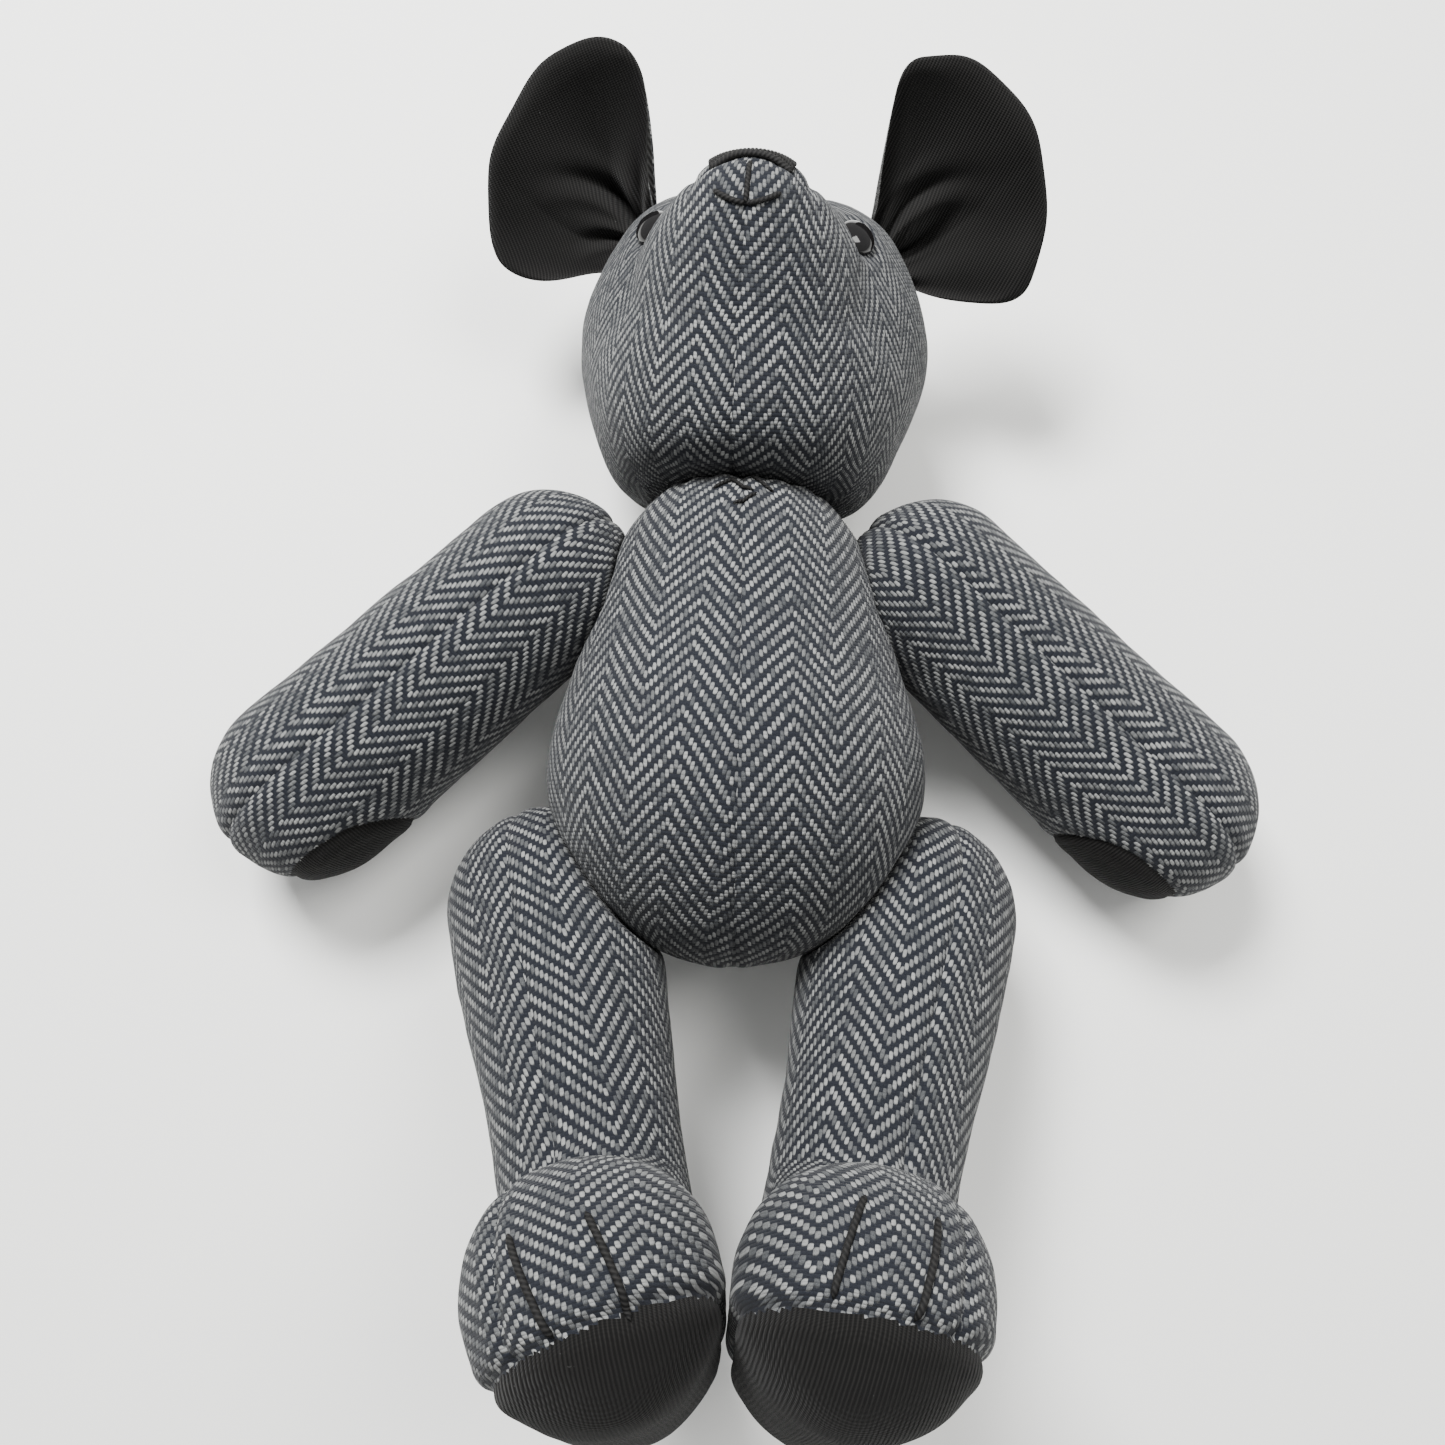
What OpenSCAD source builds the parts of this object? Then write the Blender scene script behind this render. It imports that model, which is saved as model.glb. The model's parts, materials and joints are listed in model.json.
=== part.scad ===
// Jointed teddy bear, lying on its back with its arms out and its feet together.
// +Z is the bear's front, +Y points to its head, and its own left side is +X.
// The origin is the middle of the flat patch of the back that it rests on.

/* [Torso] */
// Radius of the belly, the wide lower end of the torso
belly_r = 57; // [50:0.5:68]
// Radius of the chest, the narrow upper end of the torso
chest_r = 41; // [37:0.5:49]
// Distance from the belly's centre up to the chest's centre
torso_len = 56; // [48:0.5:68]
// How much closer to the floor the chest's centre lies than the belly's
chest_drop = 2; // [0:0.5:5]
// Depth that the resting back is pressed flat
back_flat = 3; // [2:0.5:5]
// Radius of the flat on the chest under the neck joint
neck_flat_r = 25.5; // [23:0.5:29]
// Radius of the flat that the shoulder joint pulls into the chest
shoulder_flat_r = 15.5; // [15:0.25:18]
// Radius of the round hollow in the torso that the arm's end turns in
shoulder_hollow_r = 26; // [25:0.5:28]
// Radius of the flat that the hip joint pulls into the belly
hip_flat_r = 27.5; // [25:0.5:32]

/* [Head] */
// Radius of each cheek
cheek_r = 48; // [42:0.5:54]
// Distance of each cheek's centre from the middle of the head
cheek_out = 9; // [6:0.5:14]
// Height of the cheeks' centres above the neck joint
cheek_up = 52; // [46:0.5:62]
// Radius of the jowl
jowl_r = 50; // [44:0.5:56]
// Height of the jowl's centre above the neck joint
jowl_up = 27; // [24:0.5:32]
// Radius of the muzzle where it leaves the face
muzzle_r = 36; // [32:0.5:40]
// Radius of the muzzle's tip
muzzle_tip_r = 16; // [14:0.5:19]
// Distance that the muzzle's tip centre stands in front of the neck's axis
muzzle_out = 50; // [44:0.5:58]
// Height of the muzzle's tip centre above the neck joint
muzzle_up = 68; // [60:0.5:78]
// Angle that the neck leans towards the bear's left
neck_lean = 2.5; // [0:0.5:6]
// Angle that the head is sewn on askew, on top of the lean
head_tilt = 1.5; // [0:0.5:4]
// Angle that the head is turned about the neck's axis
head_turn = -4; // [-15:1:15]

/* [Ears] */
// Width of an ear across its outward direction
ear_w = 76; // [60:1:84]
// Length of an ear from the head outwards
ear_len = 58; // [48:1:66]
// Radius of the hollow that the ear is cupped to
ear_cup_r = 80; // [60:1:110]

/* [Arms] */
// Radius of the arm's shoulder end
arm_r = 28; // [26:0.5:31]
// Radius of the paw
paw_r = 31; // [28:0.5:35]
// Distance from the shoulder end's centre to the paw's centre
arm_len = 100; // [84:1:120]
// Distance from the shoulder end's centre to its flat face
arm_flat = 23.3; // [21:0.1:25]
// Angle that the arm hangs below straight out to the side
arm_down = 41.5; // [35:0.5:50]
// Angle that the arm slopes towards the floor
arm_drop = 8; // [6:0.5:10]
// Radius of the round paw pad
pad_r = 20; // [14:0.5:23]

/* [Legs] */
// Radius of the thigh
thigh_r = 32; // [29:0.5:35]
// Radius of the leg just above the foot
ankle_r = 25.5; // [21:0.5:28]
// Distance from the thigh's centre to the foot's middle line
leg_len = 120; // [100:1:135]
// Distance from the thigh's centre to its flat face
thigh_flat = 19.2; // [17:0.1:23]
// Radius of the heel
heel_r = 27; // [25:0.5:30]
// Radius of the toe
toe_r = 30; // [28:0.5:34]
// Distance that the toe's centre stands in front of the leg's axis
toe_out = 40; // [32:0.5:48]
// Distance from the foot's middle line down to the sole's seam
sole_seam = 8; // [4:0.5:12]
// Angle that the legs are raised off the floor
leg_raise = 27; // [20:1:34]
// Angle that the legs lean in to each other
leg_in = 13.1; // [10:0.1:13.6]

/* [Cloth and face] */
// Thickness of the tweed with its backing
cloth_t = 1.6; // [1.2:0.1:2.2]
// Thickness of each layer of an ear
ear_t = 1.5; // [1:0.1:2.2]
// Diameter of a safety eye
eye_d = 12; // [10:0.5:14]
// Thickness of the embroidery thread
thread_d = 1.4; // [1:0.1:2]

/* [Joints] */
// Radius of the neck discs
neck_disc_r = 20; // [16:0.5:22]
// Radius of the shoulder discs
shoulder_disc_r = 13.5; // [11:0.5:14]
// Radius of the hip discs
hip_disc_r = 20; // [16:0.5:23]
// Thickness of a hardboard disc
disc_t = 2.5; // [2:0.1:3.5]
// Radius of a washer
washer_r = 6; // [5:0.5:8]
// Thickness of a washer
washer_t = 1; // [0.8:0.1:1.4]
// Radius of a cotter pin's shaft
pin_r = 1.5; // [1.2:0.1:2]
// Radial running clearance of the pin in discs and washers
pin_clear = 0.08; // [0.05:0.01:0.1]
// Gap between the two clothed faces of a joint
joint_gap = 0.6; // [0.4:0.1:1.2]

/* [Hidden] */
$fn = 96;
BIG = 640;
touch = 0.03;          // a hair of room between pieces that lie on each other
cloth_room = 0.12;     // room between the cloth and the stuffing
hole_room = 0.5;       // room round the pin where it passes through cloth
arc_step = 9;          // angle between the rings of a rounded end
shoulder_up = 7;       // the shoulder's axis rises towards the head
shoulder_back = 5;     // and dips towards the floor
hip_down = 36.8;       // the hip's axis falls towards the feet
hip_back = 9;          // and dips towards the floor
pin_head_r = 3.5;
pin_head_t = 1.4;
crown_t = 2;           // depth of the curled legs at the pin's other end
pocket_room = 0.6;
eye_stem_r = 1.6;
eye_stem_len = 11;
eye_room = 0.5;         // room round the eye's dome in the dip that it sits in
eye_washer_r = 7;
eye_washer_t = 1.5;
eye_h = 0.31 * eye_d;  // height of the eye's dome
eye_ball_r = (eye_d * eye_d / 4 + eye_h * eye_h) / (2 * eye_h);

function unit(v) = v / norm(v);
function on_sphere(r, flat_r) = sqrt(r * r - flat_r * flat_r);

belly_c = [0, 0, belly_r - back_flat];
chest_c = belly_c + [0, torso_len, -chest_drop];
neck_j = chest_c + [0, on_sphere(chest_r, neck_flat_r), 3];
neck_n = [sin(neck_lean), cos(neck_lean), 0];
shoulder_n = [cos(shoulder_back) * cos(shoulder_up), cos(shoulder_back) * sin(shoulder_up),
              -sin(shoulder_back)];
shoulder_j = chest_c + on_sphere(chest_r, shoulder_flat_r) * shoulder_n;
hip_n = [cos(hip_back) * cos(hip_down), -cos(hip_back) * sin(hip_down), -sin(hip_back)];
hip_j = belly_c + on_sphere(belly_r, hip_flat_r) * hip_n;

cheek_c = neck_j + [cheek_out, cheek_up, cheek_r - neck_j.z - 1];
jowl_c = neck_j + [0, jowl_up, 0];
muzzle_c = neck_j + [0, cheek_up + 2, 22];
tip_c = neck_j + [0, muzzle_up, muzzle_out];
muzzle_n = unit(tip_c - muzzle_c);
muzzle_up_n = unit([0, muzzle_n.z, -muzzle_n.y]);
eye_n = unit([0.44, 0.44, 0.79]);
eye_c = cheek_c + cheek_r * eye_n;

ear_out_n = unit([0.76, 0.55, 0.30]);
ear_side = [-0.55, 0.62, 0.45];
ear_along_n = unit(ear_side - (ear_side * ear_out_n) * ear_out_n);
ear_front_n = cross(ear_out_n, ear_along_n);
ear_base = cheek_c + cheek_r * unit([0.65, 0.76, 0.08]);
ear_c = ear_base + (ear_len / 2 - 4) * ear_out_n + 4 * ear_along_n;

arm_n = [cos(arm_drop) * cos(arm_down), -cos(arm_drop) * sin(arm_down), -sin(arm_drop)];
arm_c = shoulder_j + (joint_gap + arm_flat) * shoulder_n;
paw_c = arm_c + arm_len * arm_n;
pad_n = unit(cross([0, 0, -1], arm_n));
arm_top_n = cross(arm_n, pad_n);

leg_n = [-sin(leg_in), -cos(leg_in) * cos(leg_raise), cos(leg_in) * sin(leg_raise)];
thigh_c = hip_j + (joint_gap + thigh_flat) * hip_n;
foot_c = thigh_c + leg_len * leg_n;
foot_up = [-0.045, 0, 1];
foot_n = unit(foot_up - (foot_up * leg_n) * leg_n);
foot_side_n = cross(foot_n, leg_n);
heel_c = foot_c - 8 * foot_n;
toe_c = foot_c + toe_out * foot_n;

// ---- helpers ----

// Turns +Z to the direction v.
module along(v) {
  rotate([0, acos(v.z / norm(v)), atan2(v.y, v.x)]) children();
}

// The same on the bear's left (side 1), or mirrored on its right (side -1).
module on_side(side) {
  if (side > 0) children();
  else mirror([1, 0, 0]) children();
}

// Everything past the plane through p, on the side that n points to.
module beyond(p, n) {
  translate(p) along(n) translate([-BIG / 2, -BIG / 2, 0]) cube(BIG);
}

// Everything below the height z.
module below(z) {
  translate([-BIG / 2, -BIG / 2, z - BIG]) cube(BIG);
}

// Outline of a ball of radius r1 and a ball of radius r2, d above it, with straight sides between.
function egg_points(r1, r2, d) =
  let (lean = asin((r1 - r2) / d),
       low_n = ceil((90 + lean) / arc_step),
       top_n = ceil((90 - lean) / arc_step))
  concat(
    [for (i = [0:low_n]) let (a = -90 + (90 + lean) * i / low_n) [r1 * cos(a), r1 * sin(a)]],
    [for (i = [0:top_n]) let (a = lean + (90 - lean) * i / top_n) [r2 * cos(a), d + r2 * sin(a)]]);

// A stuffed form with round ends at p1 and p2.
module egg(p1, r1, p2, r2) {
  translate(p1) along(p2 - p1) rotate_extrude() polygon(egg_points(r1, r2, norm(p2 - p1)));
}

// A thread that lies on a ball from the direction a to the direction b.
module stitch(c, r, a, b) {
  z = unit(cross(a, b));
  y = cross(z, a);
  multmatrix([[a.x, y.x, z.x, c.x], [a.y, y.y, z.y, c.y], [a.z, y.z, z.z, c.z], [0, 0, 0, 1]])
    rotate_extrude(angle = acos(a * b))
      translate([r + thread_d / 2 + touch, 0]) circle(d = thread_d, $fn = 24);
}

// ---- disc joints: each lies on the axis n through j, the middle of the torso's flat ----

module joint_at(j, n) {
  translate(j) along(n) children();
}

module disc(disc_r, z) {
  translate([0, 0, z]) difference() {
    cylinder(r = disc_r, h = disc_t);
    translate([0, 0, -1]) cylinder(r = pin_r + pin_clear, h = disc_t + 2);
  }
}

module washer(z) {
  translate([0, 0, z]) difference() {
    cylinder(r = washer_r, h = washer_t);
    translate([0, 0, -1]) cylinder(r = pin_r + pin_clear, h = washer_t + 2);
  }
}

torso_disc_z = -cloth_t - touch - disc_t;
torso_washer_z = torso_disc_z - touch - washer_t;
limb_disc_z = joint_gap + cloth_t + touch;
limb_washer_z = limb_disc_z + disc_t + touch;
pin_top_z = limb_washer_z + washer_t + touch;
crown_z = torso_washer_z - touch - crown_t;

module torso_disc(j, n, disc_r) {
  color("peru") joint_at(j, n) disc(disc_r, torso_disc_z);
}

module limb_disc(j, n, disc_r) {
  color("peru") joint_at(j, n) disc(disc_r, limb_disc_z);
}

module limb_washer(j, n) {
  color("silver") joint_at(j, n) washer(limb_washer_z);
}

module cotter_pin(j, n) {
  color("gainsboro") joint_at(j, n) {
    translate([0, 0, crown_z]) cylinder(r = pin_head_r, h = crown_t);
    translate([0, 0, crown_z + crown_t / 2]) cylinder(r = pin_r, h = pin_top_z - crown_z);
    translate([0, 0, pin_top_z]) cylinder(r = pin_head_r, h = pin_head_t);
  }
}

// The room that one joint's discs, washers and pin take inside the stuffing.
module joint_pocket(j, n, disc_r) {
  joint_at(j, n) {
    translate([0, 0, torso_disc_z - pocket_room])
      cylinder(r = disc_r + pocket_room, h = -torso_disc_z + joint_gap
               + cloth_t + disc_t + 2 * pocket_room);
    translate([0, 0, crown_z - pocket_room])
      cylinder(r = washer_r + pocket_room, h = pin_top_z + pin_head_t - crown_z + 2 * pocket_room);
  }
}

module pin_hole(j, n) {
  joint_at(j, n) translate([0, 0, -10]) cylinder(r = pin_r + hole_room, h = 20);
}

module torso_washers() {
  color("silver") {
    joint_at(neck_j, neck_n) washer(torso_washer_z);
    for (side = [1, -1]) on_side(side) {
      joint_at(shoulder_j, shoulder_n) washer(torso_washer_z);
      joint_at(hip_j, hip_n) washer(torso_washer_z);
    }
  }
}

// ---- torso ----

// The torso's outer form, or the form that lies inset inside it.
module torso_form(inset) {
  difference() {
    egg(belly_c, belly_r - inset, chest_c, chest_r - inset);
    below(inset);
    beyond(neck_j - inset * neck_n, neck_n);
    for (side = [1, -1]) on_side(side) {
      translate(shoulder_j - inset * shoulder_n) along(shoulder_n)
        cylinder(r = shoulder_hollow_r + inset, h = BIG / 4);
      beyond(hip_j - inset * hip_n, hip_n);
    }
  }
}

module torso_cover() {
  difference() {
    torso_form(0);
    torso_form(cloth_t);
    pin_hole(neck_j, neck_n);
    for (side = [1, -1]) on_side(side) {
      pin_hole(shoulder_j, shoulder_n);
      pin_hole(hip_j, hip_n);
    }
  }
}

module torso_front(side) {
  color("dimgray") difference() {
    torso_cover();
    on_side(side) beyond([touch / 2, 0, 0], [-1, 0, 0]);
    below(belly_c.z - touch / 2);
  }
}

module torso_back() {
  color("dimgray") intersection() {
    torso_cover();
    below(belly_c.z - touch * 1.5);
  }
}

module torso_stuffing() {
  color("ivory") difference() {
    torso_form(cloth_t + cloth_room);
    joint_pocket(neck_j, neck_n, neck_disc_r);
    for (side = [1, -1]) on_side(side) {
      joint_pocket(shoulder_j, shoulder_n, shoulder_disc_r);
      joint_pocket(hip_j, hip_n, hip_disc_r);
    }
  }
}

// ---- head: drawn upright on the neck's middle, then leaned and turned ----

module in_head() {
  translate(neck_j) rotate([0, 0, -neck_lean]) rotate([0, head_turn, 0])
    translate([0, cheek_up, 0]) rotate([0, 0, -head_tilt]) translate([0, -cheek_up, 0])
      translate(-neck_j) children();
}

snout_d = norm(tip_c - muzzle_c);

// The muzzle's outline: part of a ball of radius r1 that narrows to a ball of radius r2.
function snout_points(r1, r2) =
  let (lean = asin((r1 - r2) / snout_d),
       low_n = ceil((20 + lean) / arc_step),
       top_n = ceil((90 - lean) / arc_step))
  concat(
    [[0, -r1 * sin(20)]],
    [for (i = [0:low_n]) let (a = -20 + (20 + lean) * i / low_n) [r1 * cos(a), r1 * sin(a)]],
    [for (i = [0:top_n]) let (a = lean + (90 - lean) * i / top_n) [r2 * cos(a), snout_d + r2 * sin(a)]]);

module snout(inset) {
  translate(muzzle_c) along(muzzle_n)
    rotate_extrude() polygon(snout_points(muzzle_r - inset, muzzle_tip_r - inset));
}

module head_balls(inset) {
  for (side = [1, -1]) on_side(side) translate(cheek_c) sphere(r = cheek_r - inset);
  translate(jowl_c) rotate([90, 0, 0]) sphere(r = jowl_r - inset);
  snout(inset);
}

// The cloth dips round each eye, so that the dome sits clear of the muzzle's swell.
module eye_dips(inset) {
  for (side = [1, -1]) on_side(side) translate(eye_c) along(eye_n)
    translate([0, 0, 0.4 - inset]) cylinder(r = eye_d / 2 + eye_room + inset, h = 20);
}

module head_form(inset) {
  difference() {
    in_head() head_balls(inset);
    in_head() eye_dips(inset);
    beyond(neck_j + (joint_gap + inset) * neck_n, -neck_n);
    below(inset);
  }
}

module head_cover() {
  difference() {
    head_form(0);
    head_form(cloth_t);
    pin_hole(neck_j, neck_n);
    in_head() for (side = [1, -1]) on_side(side)
      translate(eye_c) along(eye_n) translate([0, 0, -8]) cylinder(r = eye_stem_r + hole_room, h = 16);
  }
}

// The band over the nose, the crown and the back of the head that joins the two sides.
gusset_w = 34;
gusset_back = 22;  // where the gusset ends behind the middle of the neck
gusset_low = tip_c + muzzle_tip_r * muzzle_n + 2.5 * muzzle_up_n;
gusset_n = unit(cross([1, 0, 0], gusset_low - (neck_j - [0, 0, gusset_back])));

module gusset_room(grow) {
  intersection() {
    translate([-gusset_w / 2 - grow, 0, -BIG / 2]) cube([gusset_w + 2 * grow, BIG, BIG]);
    beyond(gusset_low - grow * gusset_n, -gusset_n);
  }
}

module head_gusset() {
  color("dimgray") intersection() {
    head_cover();
    in_head() gusset_room(0);
  }
}

module head_side(side) {
  color("dimgray") difference() {
    head_cover();
    in_head() {
      on_side(side) beyond([touch / 2, 0, 0], [-1, 0, 0]);
      gusset_room(touch);
    }
  }
}

module head_stuffing() {
  color("ivory") difference() {
    head_form(cloth_t + cloth_room);
    joint_pocket(neck_j, neck_n, neck_disc_r);
    in_head() for (side = [1, -1]) on_side(side) translate(eye_c) along(eye_n) {
      translate([0, 0, -eye_stem_len - pocket_room]) cylinder(r = eye_stem_r + pocket_room, h = 20);
      translate([0, 0, -cloth_t - eye_washer_t - pocket_room])
        cylinder(r = eye_washer_r + pocket_room, h = 10);
    }
  }
}

module ear_outline() {
  for (k = [1, -1])
    translate(ear_c + k * (ear_w - ear_len) / 2 * ear_along_n - BIG / 4 * ear_front_n)
      along(ear_front_n) cylinder(d = ear_len, h = BIG / 2);
}

// One layer of an ear, from depth z0 to z1 behind its cupped front.
module ear_layer(side, z0, z1, shade) {
  cup_c = ear_c + ear_cup_r * ear_front_n;
  color(shade) difference() {
    in_head() on_side(side) intersection() {
      ear_outline();
      difference() {
        translate(cup_c) sphere(r = ear_cup_r + z1);
        translate(cup_c) sphere(r = ear_cup_r + z0);
        beyond(cup_c, ear_front_n);
      }
    }
    head_form(-touch);
  }
}

module eye(side) {
  color("black") in_head() on_side(side) translate(eye_c + touch * eye_n) along(eye_n) {
    intersection() {
      translate([0, 0, 0.6 + eye_h - eye_ball_r]) sphere(r = eye_ball_r);
      translate([0, 0, 0.6]) cylinder(d = eye_d + 2, h = eye_d);
    }
    translate([0, 0, -eye_stem_len]) cylinder(r = eye_stem_r, h = eye_stem_len + 1);
  }
}

module eye_lock_washers() {
  color("white") in_head() for (side = [1, -1]) on_side(side) translate(eye_c) along(eye_n)
    translate([0, 0, -cloth_t - eye_washer_t - 0.6]) difference() {
      cylinder(r = eye_washer_r, h = eye_washer_t);
      translate([0, 0, -1]) cylinder(r = eye_stem_r + pin_clear, h = eye_washer_t + 2);
    }
}

module nose_embroidery() {
  color("black") in_head() intersection() {
    difference() {
      snout(-1.2);
      snout(-touch);
    }
    translate(tip_c) along(muzzle_n + muzzle_up_n * 0.8) cylinder(r = muzzle_tip_r * 0.85, h = 40);
    beyond(tip_c + 1.5 * muzzle_up_n, muzzle_up_n);
  }
}

module mouth_embroidery() {
  lip = muzzle_n * cos(40) - muzzle_up_n * sin(40);
  corner = unit([0.46, 0, 0] + 0.9 * (muzzle_n * cos(31) - muzzle_up_n * sin(31)));
  color("black") in_head() {
    stitch(tip_c, muzzle_tip_r, unit(muzzle_n - 0.05 * muzzle_up_n), lip);
    for (side = [1, -1]) on_side(side)
      stitch(tip_c, muzzle_tip_r, unit(lip + [0.075, 0, 0]), corner);
  }
}

// ---- arms ----

module arm_form(inset) {
  difference() {
    egg(arm_c, arm_r - inset, paw_c, paw_r - inset);
    beyond(shoulder_j + (joint_gap + inset) * shoulder_n, -shoulder_n);
  }
}

module arm_cover() {
  difference() {
    arm_form(0);
    arm_form(cloth_t);
    pin_hole(shoulder_j, shoulder_n);
  }
}

module pad_outline(grow) {
  translate(paw_c + 3 * arm_n + 2 * pad_n) along(pad_n) cylinder(r = pad_r + grow, h = BIG / 4);
}

module arm_outer(side) {
  color("dimgray") on_side(side) difference() {
    arm_cover();
    beyond(arm_c - touch / 2 * pad_n, pad_n);
  }
}

module arm_inner(side) {
  color("dimgray") on_side(side) difference() {
    arm_cover();
    beyond(arm_c + touch / 2 * pad_n, -pad_n);
    pad_outline(touch);
  }
}

module paw_pad(side) {
  color("black") on_side(side) intersection() {
    arm_cover();
    pad_outline(0);
  }
}

module arm_stuffing(side) {
  color("ivory") on_side(side) difference() {
    arm_form(cloth_t + cloth_room);
    joint_pocket(shoulder_j, shoulder_n, shoulder_disc_r);
  }
}

// ---- legs ----

leg_slim = 84;    // distance from the thigh's centre to the slimmest part of the leg
thigh_steps = 10;

function ease(x) = x * x * (3 - 2 * x);

// The leg's outline: a round thigh that eases in to the ankle.
function leg_points(inset) = concat(
  [for (i = [0:thigh_steps]) let (a = -90 + 90 * i / thigh_steps)
    [(thigh_r - inset) * cos(a), (thigh_r - inset) * sin(a)]],
  [for (i = [1:8]) [thigh_r - inset + (ankle_r - thigh_r) * ease(i / 8), leg_slim * i / 8]],
  [[ankle_r - inset, leg_len - 8], [0, leg_len - 8]]);

// The belly as the thigh meets it: a ball with the joint's flat on it.
module belly_room(inset) {
  difference() {
    translate(belly_c) sphere(r = belly_r + joint_gap + inset);
    beyond(hip_j + (joint_gap + inset) * hip_n, hip_n);
  }
}

module leg_form(inset) {
  difference() {
    union() {
      translate(thigh_c) along(leg_n) rotate_extrude() polygon(leg_points(inset));
      egg(heel_c, heel_r - inset, toe_c, toe_r - inset);
    }
    belly_room(inset);
  }
}

module leg_cover() {
  difference() {
    leg_form(0);
    leg_form(cloth_t);
    pin_hole(hip_j, hip_n);
  }
}

sole_p = foot_c + sole_seam * leg_n;

// The seam between the leg's panels runs down its front, turned a little to the outside.
seam_turn = 16;
leg_seam_n = foot_side_n * cos(seam_turn) - foot_n * sin(seam_turn);

module leg_panel(side, face) {
  color("dimgray") on_side(side) difference() {
    leg_cover();
    beyond(foot_c + touch / 2 * face * leg_seam_n, -face * leg_seam_n);
    beyond(sole_p - touch * leg_n, leg_n);
  }
}

module sole(side) {
  color("black") on_side(side) intersection() {
    leg_cover();
    beyond(sole_p, leg_n);
  }
}

module leg_stuffing(side) {
  color("ivory") on_side(side) difference() {
    leg_form(cloth_t + cloth_room);
    joint_pocket(hip_j, hip_n, hip_disc_r);
  }
}

// Two long stitches over the toe of each foot.
claw_mid = 12;     // the pair sits this many degrees to the outside
claw_apart = 19;   // and each stitch this many degrees to either side of that

module claws(side) {
  color("black") on_side(side) for (k = [1, -1]) {
    a = claw_mid + k * claw_apart;
    out = foot_n * cos(a) + foot_side_n * sin(a);
    stitch(toe_c, toe_r, out * cos(38) - leg_n * sin(38), out * cos(7) + leg_n * sin(7));
  }
}

// ---- nodes ----

torso_front(1);  // torso_front_left
torso_front(-1);  // torso_front_right
torso_back();
torso_stuffing();
torso_disc(neck_j, neck_n, neck_disc_r);  // neck_torso_disc
on_side(1) torso_disc(shoulder_j, shoulder_n, shoulder_disc_r);  // left_shoulder_torso_disc
on_side(-1) torso_disc(shoulder_j, shoulder_n, shoulder_disc_r);  // right_shoulder_torso_disc
on_side(1) torso_disc(hip_j, hip_n, hip_disc_r);  // left_hip_torso_disc
on_side(-1) torso_disc(hip_j, hip_n, hip_disc_r);  // right_hip_torso_disc
torso_washers();

head_side(1);  // head_side_left
head_side(-1);  // head_side_right
head_gusset();
head_stuffing();
ear_layer(1, 0, ear_t, "black");  // left_ear_front
ear_layer(1, ear_t + touch, 2 * ear_t, "dimgray");  // left_ear_back
ear_layer(-1, 0, ear_t, "black");  // right_ear_front
ear_layer(-1, ear_t + touch, 2 * ear_t, "dimgray");  // right_ear_back
eye(1);  // left_eye
eye(-1);  // right_eye
eye_lock_washers();
nose_embroidery();
mouth_embroidery();
limb_disc(neck_j, neck_n, neck_disc_r);  // neck_head_disc
limb_washer(neck_j, neck_n);  // neck_head_washer
cotter_pin(neck_j, neck_n);  // neck_pin

arm_outer(1);  // left_arm_outer
arm_inner(1);  // left_arm_inner
paw_pad(1);  // left_paw_pad
arm_stuffing(1);  // left_arm_stuffing
on_side(1) limb_disc(shoulder_j, shoulder_n, shoulder_disc_r);  // left_arm_disc
on_side(1) limb_washer(shoulder_j, shoulder_n);  // left_arm_washer
on_side(1) cotter_pin(shoulder_j, shoulder_n);  // left_arm_pin

arm_outer(-1);  // right_arm_outer
arm_inner(-1);  // right_arm_inner
paw_pad(-1);  // right_paw_pad
arm_stuffing(-1);  // right_arm_stuffing
on_side(-1) limb_disc(shoulder_j, shoulder_n, shoulder_disc_r);  // right_arm_disc
on_side(-1) limb_washer(shoulder_j, shoulder_n);  // right_arm_washer
on_side(-1) cotter_pin(shoulder_j, shoulder_n);  // right_arm_pin

leg_panel(1, 1);  // left_leg_outer
leg_panel(1, -1);  // left_leg_inner
sole(1);  // left_sole
claws(1);  // left_claws
leg_stuffing(1);  // left_leg_stuffing
on_side(1) limb_disc(hip_j, hip_n, hip_disc_r);  // left_leg_disc
on_side(1) limb_washer(hip_j, hip_n);  // left_leg_washer
on_side(1) cotter_pin(hip_j, hip_n);  // left_leg_pin

leg_panel(-1, 1);  // right_leg_outer
leg_panel(-1, -1);  // right_leg_inner
sole(-1);  // right_sole
claws(-1);  // right_claws
leg_stuffing(-1);  // right_leg_stuffing
on_side(-1) limb_disc(hip_j, hip_n, hip_disc_r);  // right_leg_disc
on_side(-1) limb_washer(hip_j, hip_n);  // right_leg_washer
on_side(-1) cotter_pin(hip_j, hip_n);  // right_leg_pin
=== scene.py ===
"""Jointed tweed teddy bear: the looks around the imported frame. Metres; +Z up, +Y to the head."""
import json
import math

import bmesh
import bpy
import numpy as np
from mathutils import Matrix, Vector, noise
from mathutils.bvhtree import BVHTree


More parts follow.
